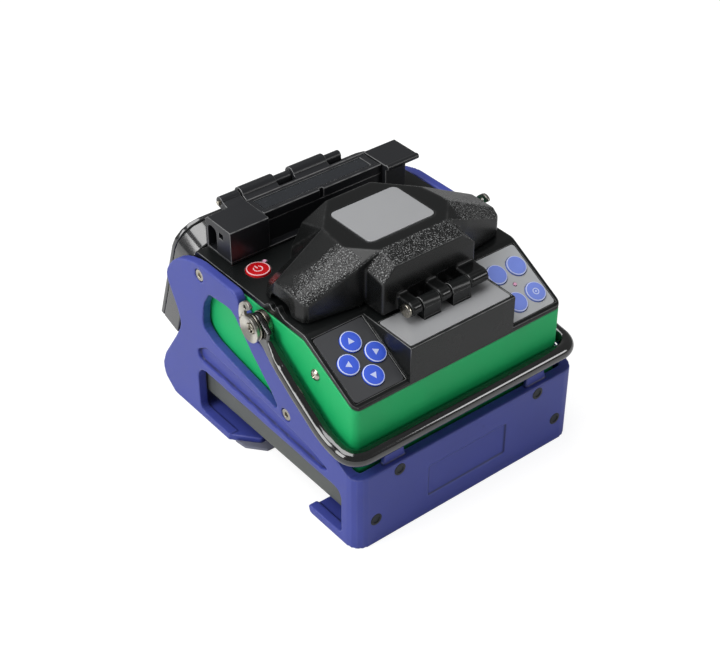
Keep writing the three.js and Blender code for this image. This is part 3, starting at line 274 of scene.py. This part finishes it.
def finish(
    title, base, rough, grain_mm=0.35, depth=0.2, shine=0.4, metal=0.0, coat=0.0, wear_and_highlight=0.2, drift=0.05
):
    """A moulded or painted surface: paler at its edges, part wear and part painted highlight, and darker
    in its hollows with painted shade.
    """
    material, tree, shader = new_material(title)
    texture = use(tree, grain, Grain_mm=grain_mm)
    edges = use(tree, wear_and_light, Amount=wear_and_highlight)
    body = mix(tree, texture["Tone"], scaled(base, 1 - drift), scaled(base, 1 + drift))
    # Paler edges: part wear, part painted highlight.
    worn_and_lit = tuple(c + WORN_AND_LIT_PALER * (1 - c) for c in base[:3]) + (1.0,)
    # Darker hollows: painted shade.
    body = mix(tree, edges["Painted shade"], body, scaled(base, PAINTED_SHADE_DARKER))
    tree.links.new(mix(tree, edges["Mask"], body, worn_and_lit), shader.inputs["Base Color"])
    smooth, dull = rough * (1 - ROUGH_SPREAD), min(1.0, rough * (1 + ROUGH_SPREAD))
    tree.links.new(ramp(tree, texture["Tone"], 0, 1, smooth, dull), shader.inputs["Roughness"])
    shader.inputs["Specular IOR Level"].default_value = shine
    shader.inputs["Metallic"].default_value = metal
    shader.inputs["Coat Weight"].default_value = coat
    shader.inputs["Coat Roughness"].default_value = COAT_ROUGH
    bump(tree, shader, texture["Height"], depth, GRAIN_DEPTH_MM)
    return material


# %% Plain finishes
blue_moulding = finish("blue moulding", colour(64, 74, 158), 0.4, 0.5, 0.2, wear_and_highlight=0.4)
green_rubber = finish("green rubber", colour(22, 184, 106), 0.55, 0.3, 0.25, wear_and_highlight=0.2)
black_housing = finish("black housing", colour(20, 22, 22), 0.28, 0.3, 0.2, 0.4, wear_and_highlight=1.2)
black_satin = finish("black satin", colour(22, 23, 24), 0.36, 0.3, 0.2, 0.4, wear_and_highlight=0.4)
heater_black = finish("heater satin black", colour(34, 35, 38), 0.3, 0.4, 0.25, 0.45, wear_and_highlight=1.8)
gloss_black = finish("gloss black", colour(12, 13, 14), 0.1, 2.0, 0.01, 0.8, coat=0.8, wear_and_highlight=0.0)
screen_black = finish("monitor black", colour(34, 35, 36), 0.16, 2.0, 0.01, 1.0, coat=0.6, wear_and_highlight=0.1)
dark_grey = finish("chassis grey", colour(92, 95, 92), 0.5, 0.4, 0.4)
grey_rubber = finish("grey rubber", colour(112, 114, 130), 0.75, 0.4, 0.4, wear_and_highlight=0.1)
plug_blue_grey = finish("plug", colour(32, 36, 44), 0.5, 0.3, 0.3)
film_left = finish("keypad film left", colour(62, 63, 66), 0.34, 0.2, 0.06, 0.9, coat=0.5, wear_and_highlight=0.0)
# The right film is made far lighter than the left one: a painted reflection.
film_right_painted_reflection = finish("keypad film right with painted reflection", colour(186, 188, 190), 0.34, 0.2, 0.06, 0.9, coat=0.5, wear_and_highlight=0.0)
key_blue = finish("key blue", colour(66, 100, 226), 0.22, 0.4, 0.03, 0.6, coat=0.7, wear_and_highlight=0.0)
# A paler copy of the key blue for the right keypad's keys: a painted reflection.
key_blue_painted_reflection = finish("key blue with painted reflection", colour(128, 150, 238), 0.22, 0.4, 0.03, 0.6, coat=0.7, wear_and_highlight=0.0)
key_white = finish("key print", colour(205, 215, 255), 0.35, 0.4, 0.03, wear_and_highlight=0.0)
power_red = finish("power red", colour(192, 14, 22), 0.35, 0.4, 0.05, 0.25, wear_and_highlight=0.0)
power_white = finish("power print", colour(240, 196, 200), 0.4, 0.4, 0.05, wear_and_highlight=0.0)
lamp_lens = finish("lamp lens", colour(236, 176, 206), 0.25, 0.4, 0.05, wear_and_highlight=0.0)
white_ceramic = finish("ceramic", colour(232, 229, 220), 0.3, 0.3, 0.1, wear_and_highlight=0.0)
board_green = finish("board", colour(30, 108, 62), 0.4, 0.4, 0.1, wear_and_highlight=0.0)
print(len(bpy.data.materials), "materials so far")

# %% [markdown]
# Metal. Stainless pieces on the pivots were turned on a lathe, so their lines run round the pivot,
# and a fan of bright and dark sectors round the pivot is painted into their colour, a painted reflection.
# The silver plates are brushed sheet: a soft sheen with no lines to speak of.

# %% Metals
LATHE_LINE_MM = 0.22


def turned_steel(title, base, rough):
    material, tree, shader = new_material(title)
    texture = use(tree, turned, Line_mm=LATHE_LINE_MM)
    body = mix(tree, texture["Tone"], scaled(base, 0.85), scaled(base, 1.1))
    # Painted reflection: a dark copy of the steel for the dark sectors of the fan.
    painted_dark_sectors = mix(tree, texture["Tone"], scaled(base, 0.3), scaled(base, 0.45))
    tree.links.new(mix(tree, texture["Painted fan"], painted_dark_sectors, body), shader.inputs["Base Color"])
    tree.links.new(ramp(tree, texture["Tone"], 0, 1, rough, rough + 0.14), shader.inputs["Roughness"])
    shader.inputs["Metallic"].default_value = 1.0
    bump(tree, shader, texture["Height"], 0.25, 0.03)
    return material


stainless = turned_steel("stainless", colour(200, 194, 180), 0.16)
pale_steel = turned_steel("pale steel", colour(226, 222, 212), 0.28)
aluminium = finish("stage aluminium", colour(196, 198, 202), 0.36, 0.25, 0.15, metal=1.0, drift=0.05)
silver_plate = finish(
    "silver plate", colour(178, 179, 181), 0.3, 0.25, 0.06, metal=0.3, wear_and_highlight=0.0, drift=0.02
)
print("metals made")

# %% [markdown]
# Glass and the screen. The heater's window is smoked and clear, and the monitor's front is a dark
# sheet with a polished face.

# %% Glass
smoked_window, tree, shader = new_material("smoked window")
texture = use(tree, grain, Grain_mm=3.0)
shader.inputs["Base Color"].default_value = colour(70, 74, 80)
tree.links.new(ramp(tree, texture["Tone"], 0, 1, 0.06, 0.14), shader.inputs["Roughness"])
shader.inputs["Transmission Weight"].default_value = 0.7
screen_glass = finish("screen front", colour(10, 12, 15), 0.06, 3.0, 0.01, coat=0.6, wear_and_highlight=0.0)
print("glass made")

# %% [markdown]
# The wind cover is black plastic in three textures: satin on the flat top, the rear and the upright
# sides, a coarse pebble on the shoulders that face the user, with painted glints in its colour, and a
# polish on the hinge knuckles. Masks that are worked out from the mesh say where.

# %% Wind cover finish
PEBBLE_MM = 0.6
PEBBLE_DEPTH_MM = 0.22
cover_black, tree, shader = new_material("wind cover black")
texture = use(tree, grain, Grain_mm=0.4)
stones = use(tree, pebble, Pebble_mm=PEBBLE_MM)
mask = add(tree, "ShaderNodeAttribute", {"attribute_name": "pebbled"}).outputs["Fac"]
painted_glint = maths(tree, "MULTIPLY", stones["Painted glint"], mask)
edge = use(tree, wear_and_light, Amount=0.4)["Mask"]
# Paler edges: part wear, part painted highlight.
plain = mix(tree, edge, colour(19, 20, 20), colour(90, 91, 91))
# Painted highlight: pebbled flecks get a pale base colour.
tree.links.new(mix(tree, painted_glint, plain, colour(140, 141, 141)), shader.inputs["Base Color"])
polish = add(tree, "ShaderNodeAttribute", {"attribute_name": "polished"}).outputs["Fac"]
tree.links.new(ramp(tree, polish, 0, 1, 0.27, 0.12), shader.inputs["Roughness"])
shader.inputs["Specular IOR Level"].default_value = 0.36
height = mix(tree, mask, (0.2, 0.2, 0.2, 1), stones["Height"])
bump(tree, shader, height, 0.7, PEBBLE_DEPTH_MM)
print("cover finish made")

# %% [markdown]
# Dressing a piece. A moulding has no sharp edge, so each CAD piece gets a copy whose flat faces are
# cleaned of their triangles and whose edges are rounded with a bevel. The copy replaces the CAD
# piece and rides on the same body. The bevel only takes edges sharper than a facet of a curve.

# %% Dressing tool
WELD_MM = 0.002
FLAT_DEGREES = 0.5
FACET_DEGREES = 33
FLAT_WEIGHT = 90
STRAY_PART = 0.5
MARK_PART = 0.12


def fit_to_cad(mesh, node, edge):
    """Marks the points that lie inside the CAD surface, as on a rounded edge, and those outside it,
    as in a filled corner. Points that a bevel threw far out go back to the surface."""
    source = nodes[node].data
    faces = BVHTree.FromPolygons([v.co for v in source.vertices], [p.vertices for p in source.polygons])
    wear_and_highlight_mark = mesh.attributes.new("edge", "FLOAT", "POINT")
    painted_shade_mark = mesh.attributes.new("painted_shade", "FLOAT", "POINT")
    strays = 0
    for point in mesh.vertices:
        nearest, _, _, distance = faces.find_nearest(point.co)
        if distance > STRAY_PART * edge * MM:
            point.co = nearest
            strays += 1
        else:
            # Points inside the surface get the mark for paler edges, part wear and part painted highlight.
            # Points outside it get the mark for painted shade.
            mark = wear_and_highlight_mark if (nearest - point.co).dot(point.normal) > 0 else painted_shade_mark
            mark.data[point.index].value = min(1.0, distance / (MARK_PART * edge * MM))
    if strays:
        print(node, "points put back:", strays)


def settle(piece, smooth_degrees=None):
    """Applies the piece's modifiers. An angle makes steeper edges look sharp."""
    bpy.context.view_layer.update()
    ready = piece.evaluated_get(bpy.context.evaluated_depsgraph_get())
    mesh = bpy.data.meshes.new_from_object(ready)
    piece.modifiers.clear()
    piece.data = mesh
    if smooth_degrees:
        mesh.set_sharp_from_angle(angle=math.radians(smooth_degrees))
    return piece


def new_piece(name, mesh, material, body):
    piece = bpy.data.objects.new(name, mesh)
    bpy.context.scene.collection.objects.link(piece)
    mesh.materials.clear()
    mesh.materials.append(material)
    mesh.shade_smooth()
    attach(piece, body)
    return piece


def body_of(node):
    return nodes[node]["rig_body"]


def solid_of(node):
    """The faces of a CAD piece, joined at their corners."""
    shape = bmesh.new()
    shape.from_mesh(nodes[node].data)
    bmesh.ops.remove_doubles(shape, verts=shape.verts, dist=WELD_MM * MM)
    return shape


def mesh_of(shape, name):
    mesh = bpy.data.meshes.new(name)
    shape.to_mesh(mesh)
    shape.free()
    return mesh


def skin_of(shape, node, material):
    name = node + "_skin"
    return new_piece(name, mesh_of(shape, name), material, body_of(node))


def dress(node, material, edge=0.4, segments=3, join=True):
    """A copy of a CAD piece with rounded edges, edge millimetres wide. Its triangles are first joined
    to whole faces, except on a piece whose faces have many holes."""
    shape = solid_of(node)
    if join:
        angle = math.radians(FLAT_DEGREES)
        bmesh.ops.dissolve_limit(
            shape, angle_limit=angle, verts=shape.verts, edges=shape.edges, delimit=set()
        )
    piece = skin_of(shape, node, material)
    bevel = piece.modifiers.new("rounded edges", "BEVEL")
    bevel.width = edge * MM
    bevel.segments = segments
    bevel.limit_method = "ANGLE"
    bevel.angle_limit = math.radians(FACET_DEGREES)
    bevel.use_clamp_overlap = False
    bevel.miter_outer = "MITER_ARC"
    flat = piece.modifiers.new("flat faces stay flat", "WEIGHTED_NORMAL")
    flat.keep_sharp = True
    flat.weight = FLAT_WEIGHT
    settle(piece)
    fit_to_cad(piece.data, node, edge)
    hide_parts(node)
    return piece


# %% [markdown]
# The cradle and the wind cover have rounder edges and inner corners than the rest, and on the cover
# many facets meet at flat angles, where a bevel leaves creases. So these two, and later the handle,
# are made like castings: the solid is filled with small cubes, a skin is drawn round them, the skin
# is smoothed, and the faces that add nothing are merged.

# %% Casting tool
CUBE_MM = 0.55
FACES_KEPT = 0.4
CAST_EDGE_MM = 1.6
CAST_SHARP_DEGREES = 60


def cast(node, material, cube=CUBE_MM, rounds=9, extra=None):
    """A copy of a CAD piece with soft corners all over, made from cubes of that many millimetres.
    An extra closed mesh can be cast into it."""
    shape = solid_of(node)
    if extra:
        shape.from_mesh(extra)
    piece = skin_of(shape, node, material)
    skin = piece.modifiers.new("skin", "REMESH")
    skin.mode = "VOXEL"
    skin.voxel_size = cube * MM
    skin.use_smooth_shade = True
    softer = piece.modifiers.new("softer corners", "SMOOTH")
    softer.factor = 0.5
    softer.iterations = rounds
    lighter = piece.modifiers.new("fewer faces", "DECIMATE")
    lighter.ratio = FACES_KEPT
    settle(piece, CAST_SHARP_DEGREES)
    fit_to_cad(piece.data, node, CAST_EDGE_MM)
    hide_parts(node)
    return piece


# %% Dress the mouldings
cast("cradle", blue_moulding, rounds=3)
dress("rubber_jacket", green_rubber, 0.5)
dress("top_housing", black_housing, 0.35, join=False)
dress("lower_chassis", dark_grey, 0.5)
dress("battery_pack", black_satin, 0.6)
for side in ("left", "right"):
    dress("rest_foot_" + side, grey_rubber, 0.8)
print("mouldings dressed")

# %% [markdown]
# The wind cover is what one looks at first, with its convex shoulders, its front block and the hinge
# knuckles. It is cast as the cradle is. Two marks on its points then tell its finish where the pebble
# texture and the polish lie, worked out from each point's place and slope.

# %% Wind cover
FRONT_BLOCK_HALF = 30
WING_FOOT, STRIP_FOOT = 108.5, 112
WING_SLOPES = (0.3, 0.985)
STRIP_SLOPE = 0.45
KNUCKLE_REACH = 8
cover = cast("wind_cover", cover_black)
shoulder_back = place(0, 62, 0).y
strip_back = place(0, 45.5, 0).y
knuckle_back = place(0, 33, 0).y
hinge_back, hinge_up = place(0, *COVER_HINGE).yz
mask = cover.data.attributes.new("pebbled", "FLOAT", "POINT")
polish = cover.data.attributes.new("polished", "FLOAT", "POINT")
pebbled = 0
for point in cover.data.vertices:
    x, y, z = point.co
    up = point.normal.z
    if abs(x) > FRONT_BLOCK_HALF * MM:
        rough = y < shoulder_back and WING_SLOPES[0] < up < WING_SLOPES[1] and z > WING_FOOT * MM
    else:
        rough = knuckle_back < y < strip_back and up > STRIP_SLOPE and z > STRIP_FOOT * MM
    near_hinge = math.hypot(y - hinge_back, z - hinge_up) < KNUCKLE_REACH * MM
    mask.data[point.index].value = float(rough)
    polish.data[point.index].value = float(near_hinge)
    pebbled += rough
print(pebbled, "pebbled points of", len(cover.data.vertices))

dress("cover_plate", silver_plate, 0.15, 2)
dress("cover_hinge_pin", stainless, 0.35)

# %% [markdown]
# The keypads are printed films on the two slopes, the name plate is brushed sheet, and the lamps are
# small lenses. All are thin, so their edges are narrow.

# %% Keypads and name plate
dress("keypad_panel_left", film_left, 0.12, 2)
dress("keypad_panel_right", film_right_painted_reflection, 0.12, 2)
dress("nose_plate", silver_plate, 0.12, 2)
dress("status_lamp", lamp_lens, 0.2)
dress("power_lamp", lamp_lens, 0.2)

# %% [markdown]
# The tube heater is satin plastic that is handled at each splice, and its edges are made the palest,
# part wear and part painted highlight. The monitor's shell is polished and has wide soft edges.

# %% Heater
for node in ("heater_base", "heater_lid", "heater_end_left", "heater_end_right"):
    dress(node, heater_black, 0.35)
dress("heater_window", smoked_window, 0.15, 2)
dress("heating_plate", aluminium, 0.15, 2)
dress("heater_hinge_rod", stainless, 0.2)

# %% Monitor
dress("monitor_shell", screen_black, 1.0, 4)
dress("monitor_bezel", screen_black, 0.6, 3)
dress("monitor_screen", screen_glass, 0.1, 2)
dress("monitor_hinge_rod", stainless, 0.2)

# %% [markdown]
# The carrying handle is a bent rod. Its CAD section has ten sides, so a rounder rod is laid along the
# same route and cast together with the eyes at its ends.

# %% Round rod
ROD_SIDES = 28
LEANING_UP = Vector((0, 0.3, 1))


def bowed(start, control, end, steps):
    """Points along a quadratic curve."""
    turns = [k / steps for k in range(steps + 1)]
    return [start * (1 - t) ** 2 + control * 2 * t * (1 - t) + end * t * t for t in turns]


def rod(route, radius):
    """A closed round mesh along a route that nowhere runs in the leaning direction."""
    turns = [2 * math.pi * n / ROD_SIDES for n in range(ROD_SIDES)]
    shape = bmesh.new()
    rings = []
    for k, point in enumerate(route):
        ahead = (route[min(k + 1, len(route) - 1)] - route[max(k - 1, 0)]).normalized()
        across = ahead.cross(LEANING_UP).normalized()
        up = across.cross(ahead)
        spokes = [(across * math.cos(a) + up * math.sin(a)) * radius * MM for a in turns]
        rings.append([shape.verts.new(point + spoke) for spoke in spokes])
    for first, second in zip(rings, rings[1:]):
        for n in range(ROD_SIDES):
            after = (n + 1) % ROD_SIDES
            shape.faces.new((first[n], first[after], second[after], second[n]))
    shape.faces.new(list(reversed(rings[0])))
    shape.faces.new(rings[-1])
    bmesh.ops.recalc_face_normals(shape, faces=shape.faces)
    return mesh_of(shape, "rod")


# %% Handle and pivots
HANDLE_X, BAR_Y, BAR_Z, BEND, ARM_Z, ROD_RADIUS = 69.5, 3.2, 54, 9.5, 55, 4
ARM_TOP, ARM_MIDDLE, BOW_START, BOW_PULL = (55, 77.3), (44, 69.7), (28, 59.8), (21, 55.6)
arm = [place(-HANDLE_X, *ARM_TOP), place(-HANDLE_X, *ARM_MIDDLE)]
bend_start = place(-HANDLE_X, BAR_Y + BEND, ARM_Z)
bend_end = place(-HANDLE_X + BEND, BAR_Y, BAR_Z)
arm += bowed(place(-HANDLE_X, *BOW_START), place(-HANDLE_X, *BOW_PULL), bend_start, 8)
arm += bowed(bend_start, place(-HANDLE_X, BAR_Y, BAR_Z), bend_end, 16)[1:]
other_arm = [Vector((-p.x, p.y, p.z)) for p in reversed(arm)]
cast("carry_handle", gloss_black, 0.5, 8, rod(arm + other_arm, ROD_RADIUS))
for side in ("left", "right"):
    dress("pivot_collar_" + side, stainless, 0.4)
    dress("pivot_knob_" + side, stainless, 0.5)
    dress("pivot_plate_" + side, pale_steel, 0.3)
    for end in ("front", "rear"):
        dress(f"cradle_screw_{side}_{end}", stainless, 0.2, 2)

# %% [markdown]
# The splicing stage shows when the wind cover is open: milled aluminium, a ceramic V-groove block,
# steel electrodes and black holders. The boards below it show from no side.

# %% Splicing stage and the inside
for node in ("stage_base", "fibre_clamp_left", "fibre_clamp_right", "sheath_lid_left", "sheath_lid_right"):
    dress(node, aluminium, 0.2, 2)
dress("v_groove_block", white_ceramic, 0.1, 2)
for end in ("front", "rear"):
    dress("electrode_" + end, stainless, 0.05, 2)
    dress("electrode_clamp_" + end, black_satin, 0.3)
    dress("objective_" + end, black_satin, 0.2)
dress("main_board", board_green, 0.1, 1)
dress("arc_supply", dark_grey, 0.4)
print("all CAD pieces dressed")

# %% [markdown]
# Keys. Each is a dished round cap with a pale printed ring, and some have a mark. A lathe profile
# makes the cap and the ring, because they are round, and a thin sheet makes each mark.

# %% Round and flat shape tools
MADE_SHARP_DEGREES = 38


def spun(profile, count=48):
    """A closed round mesh about z, from its half section of radius and height in millimetres."""
    shape = bmesh.new()
    rings = []
    for radius, height in profile:
        if radius == 0:
            rings.append([shape.verts.new((0, 0, height * MM))])
            continue
        turns = (2 * math.pi * k / count for k in range(count))
        circle = [(radius * MM * math.cos(a), radius * MM * math.sin(a), height * MM) for a in turns]
        rings.append([shape.verts.new(point) for point in circle])
    for low, high in zip(rings, rings[1:]):
        for k in range(count):
            below = [low[k % len(low)], low[(k + 1) % len(low)]]
            above = [high[(k + 1) % len(high)], high[k % len(high)]]
            shape.faces.new(list(dict.fromkeys(below + above)))
    bmesh.ops.recalc_face_normals(shape, faces=shape.faces)
    return mesh_of(shape, "spun")


def sheet(outline, low, high):
    """A flat closed mesh between two heights, from its outline in millimetres."""
    shape = bmesh.new()
    bottom = [shape.verts.new((x * MM, y * MM, low * MM)) for x, y in outline]
    top = [shape.verts.new((x * MM, y * MM, high * MM)) for x, y in outline]
    shape.faces.new(list(reversed(bottom)))
    shape.faces.new(top)
    for k in range(len(outline)):
        after = (k + 1) % len(outline)
        shape.faces.new((bottom[k], bottom[after], top[after], top[k]))
    return mesh_of(shape, "sheet")


def put(name, mesh, where, material, body):
    """A made mesh, moved to its place and smoothed, as a piece of that body."""
    mesh.transform(where)
    return settle(new_piece(name, mesh, material, body), MADE_SHARP_DEGREES)


# %% Keys
KEY_R = 5.4
MARK_HEIGHTS = (0.4, 0.64)
RING = [(4.85, 0.5), (5.3, 0.36), (5.3, 0.52), (4.85, 0.68), (4.85, 0.5)]
CAP = [(0, -2.9), (KEY_R, -2.9), (KEY_R, 0.2), (KEY_R - 0.12, 0.42), (KEY_R - 0.45, 0.6)]
CAP += [(2.6, 0.56), (0, 0.5)]
TRIANGLE = [(-1.7, -1.2), (1.7, -1.2), (0, 1.75)]
CIRCLE = [(1.3, 0.4), (1.8, 0.4), (1.8, 0.66), (1.3, 0.66), (1.3, 0.4)]
DOT = [(0, 0.4), (0.5, 0.4), (0.5, 0.66), (0, 0.66)]
TURNS = {"key_up": -119, "key_left": -29, "key_down": 61, "key_right": 151}
key_names = sorted(name for name in nodes if name.startswith("key_"))
for name in key_names:
    low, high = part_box(name)
    middle = slope.inverted() @ ((low + high) / 2)
    there = slope @ Matrix.Translation((middle.x, middle.y, 0))
    # Keys other than the arrows get the paler copy of the blue, a painted reflection.
    tint = key_blue if name in TURNS else key_blue_painted_reflection
    cap = put(name + "_cap", spun(CAP), there, tint, name)
    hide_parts(name)
    put(name + "_ring", spun(RING), there, key_white, name)
    if name in TURNS:
        turn = Matrix.Rotation(math.radians(TURNS[name]), 4, "Z")
        arrow = sheet(TRIANGLE, *MARK_HEIGHTS)
        put(name + "_mark", arrow, there @ turn, key_white, name)
    if name == "key_front_right":
        put(name + "_circle", spun(CIRCLE), there, key_white, name)
        put(name + "_dot", spun(DOT, 24), there, key_white, name)
print(len(key_names), "keys")

# %% [markdown]
# The power button is a wider key in red, with a rim and the common power symbol: a ring with a gap at
# its top and a short bar in the gap.

# %% Power button
low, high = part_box("power_button")
there = Matrix.Translation(((low.x + high.x) / 2, (low.y + high.y) / 2, DECK * MM))
POWER_CAP = [(0, -2.6), (6.1, -2.6), (6.1, 0.3), (5.95, 0.6), (5.6, 0.78), (3, 0.74), (0, 0.7)]
POWER_RING = [(5.25, 0.7), (5.75, 0.66), (5.75, 0.84), (5.25, 0.9), (5.25, 0.7)]
SYMBOL_HEIGHTS = (0.6, 0.86)
BAR = [(-0.28, 0.4), (0.28, 0.4), (0.28, 2.9), (-0.28, 2.9)]
cap = put("power_cap", spun(POWER_CAP, 64), there, power_red, "power_button")
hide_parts("power_button")
put("power_rim", spun(POWER_RING, 64), there, power_white, "power_button")


def broken_ring(inner, outer, gap_degrees):
    """A ring's outline with a gap at the top."""
    count = 40
    start = math.radians(90 + gap_degrees / 2)
    sweep = math.radians(360 - gap_degrees)
    angles = [start + sweep * k / count for k in range(count + 1)]
    far = [(outer * math.cos(a), outer * math.sin(a)) for a in angles]
    near = [(inner * math.cos(a), inner * math.sin(a)) for a in reversed(angles)]
    return far + near


for name, outline in (("power_arc", broken_ring(1.9, 2.45, 70)), ("power_bar", BAR)):
    put(name, sheet(outline, *SYMBOL_HEIGHTS), there, power_white, "power_button")
print("power button made")

# %% [markdown]
# Small fittings that the CAD leaves out: the domed studs on the jacket and the dark plugs in the
# cradle's front. Both are round, so they are spun and then turned to face outwards.

# %% Small fittings
face_left = Matrix.Rotation(math.radians(-90), 4, "Y")
face_right = Matrix.Rotation(math.radians(90), 4, "Y")
face_front = Matrix.Rotation(math.radians(90), 4, "X")
STUD_AT = (36.2, 82.2)
STUD = [(0, -0.6), (3.0, -0.6), (3.0, 0.2), (2.8, 0.7), (2.0, 1.3), (1.2, 1.5), (1.0, 1.0), (0, 0.9)]
jacket_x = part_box("rubber_jacket")[1].x / MM
for side, sign, facing in (("left", -1, face_left), ("right", 1, face_right)):
    where = Matrix.Translation(place(sign * jacket_x, *STUD_AT)) @ facing
    put("jacket_stud_" + side, spun(STUD, 32), where, stainless, "splicer")
PLUGS_AT = ((-58, 15), (-44, 38.6), (44, 38.6), (58, 15))
PLUG = [(0, -1.4), (3.3, -1.4), (3.3, 0.02), (3.1, 0.1), (2.1, 0.1), (1.9, -0.3), (0, -0.35)]
for k, (x, z) in enumerate(PLUGS_AT):
    where = Matrix.Translation(place(x, 0, z)) @ face_front
    put(f"front_plug_{k + 1}", spun(PLUG, 32), where, plug_blue_grey, "splicer")
print("fittings made")

# %% [markdown]
# The studio: a pale floor in a dim white room, which both look white to the camera. More light on the
# splicer would whiten them too, but its colours would clip. So the camera, and glass, get a shader of
# their own, and the floor's keeps the shadow.

# %% Floor and world
WHITE = (1, 1, 1, 1)
FLOOR_GLOW = 0.86
FLOOR_SHADOW = (0.28, 0.28, 0.28, 1)
ROOM_LIGHT = 0.2
FLOOR = 4.0


def shown_apart(tree, lighting, shown, output):
    """Joins a shader that lights the splicer and one that the camera sees, also through glass."""
    path = tree.nodes.new("ShaderNodeLightPath")
    seen = maths(tree, "MAXIMUM", path.outputs["Is Camera Ray"], path.outputs["Is Transmission Ray"])
    choose = tree.nodes.new("ShaderNodeMixShader")
    for socket, value in zip(choose.inputs, (seen, lighting.outputs[0], shown.outputs[0])):
        tree.links.new(value, socket)
    tree.links.new(choose.outputs[0], output.inputs["Surface"])


floor_mesh = bpy.data.meshes.new("floor")
corners = [(-FLOOR, -FLOOR, 0), (FLOOR, -FLOOR, 0), (FLOOR, FLOOR, 0), (-FLOOR, FLOOR, 0)]
floor_mesh.from_pydata(corners, [], [(0, 1, 2, 3)])
floor = bpy.data.objects.new("floor", floor_mesh)
bpy.context.scene.collection.objects.link(floor)
pale_floor, tree, shader = new_material("pale floor")
shader.inputs["Base Color"].default_value = (0.8, 0.8, 0.8, 1)
shader.inputs["Roughness"].default_value = 0.9
glow = add(tree, "ShaderNodeEmission", Color=WHITE, Strength=FLOOR_GLOW)
matt = add(tree, "ShaderNodeBsdfDiffuse", Color=FLOOR_SHADOW)
both = tree.nodes.new("ShaderNodeAddShader")
tree.links.new(glow.outputs[0], both.inputs[0])
tree.links.new(matt.outputs[0], both.inputs[1])
shown_apart(tree, shader, both, tree.nodes["Material Output"])
floor_mesh.materials.append(pale_floor)

world = bpy.data.worlds.new("studio")
bpy.context.scene.world = world
world.use_nodes = True
tree = world.node_tree
dim = tree.nodes["Background"]
dim.inputs["Color"].default_value = WHITE
dim.inputs["Strength"].default_value = ROOM_LIGHT
bright = add(tree, "ShaderNodeBackground", Color=WHITE, Strength=1.0)
shown_apart(tree, dim, bright, tree.nodes["World Output"])
bpy.context.scene.view_settings.view_transform = "Standard"
print("studio made")

# %% [markdown]
# Three soft lamps: a large one overhead, a strong one on the left, and a weak one in front on the
# right that gives the gloss its streaks. Places and sizes are in metres here.

# %% Lamps
LAMPS = {
    "overhead": {"where": (-0.25, 0.25, 1.3), "aim": (0, 0, 0.05), "size": (1.2, 0.8), "watts": 12},
    "key left": {"where": (-1.35, 0.2, 0.75), "aim": (0, 0, 0.05), "size": (0.8, 0.9), "watts": 12},
    "front right": {"where": (0.9, -1.1, 0.6), "aim": (0, 0, 0.06), "size": (0.45, 0.4), "watts": 3},
}


def softbox(name, where, aim, size, watts):
    lamp = bpy.data.lights.new(name, "AREA")
    lamp.shape = "RECTANGLE"
    lamp.size, lamp.size_y = size
    lamp.energy = watts
    piece = bpy.data.objects.new(name, lamp)
    bpy.context.scene.collection.objects.link(piece)
    piece.location = where
    piece.rotation_euler = (Vector(aim) - Vector(where)).to_track_quat("-Z", "Y").to_euler()


for name, settings in LAMPS.items():
    softbox(name, **settings)
print(len(LAMPS), "lamps")

# %% [markdown]
# The camera stands where the photographer did: to the left of the front, looking down. Its place was
# found from the cradle's straight edges.

# %% Camera
VIEW_AZIMUTH = math.radians(38.757)
VIEW_DOWN = math.radians(37.101)
LENS_MM, SENSOR_MM = 76.95, 36
CAMERA_AT = (-389.3, -400.5, 519.0)
camera_data = bpy.data.cameras.new("photo camera")
camera_data.lens = LENS_MM
camera_data.sensor_width = SENSOR_MM
camera_data.clip_start = 0.01
camera = bpy.data.objects.new("photo camera", camera_data)
bpy.context.scene.collection.objects.link(camera)
camera.location = place(*CAMERA_AT)
camera.rotation_euler = (math.pi / 2 - VIEW_DOWN, 0, -VIEW_AZIMUTH)
bpy.context.scene.camera = camera
print("camera at", [round(c, 3) for c in camera.location])
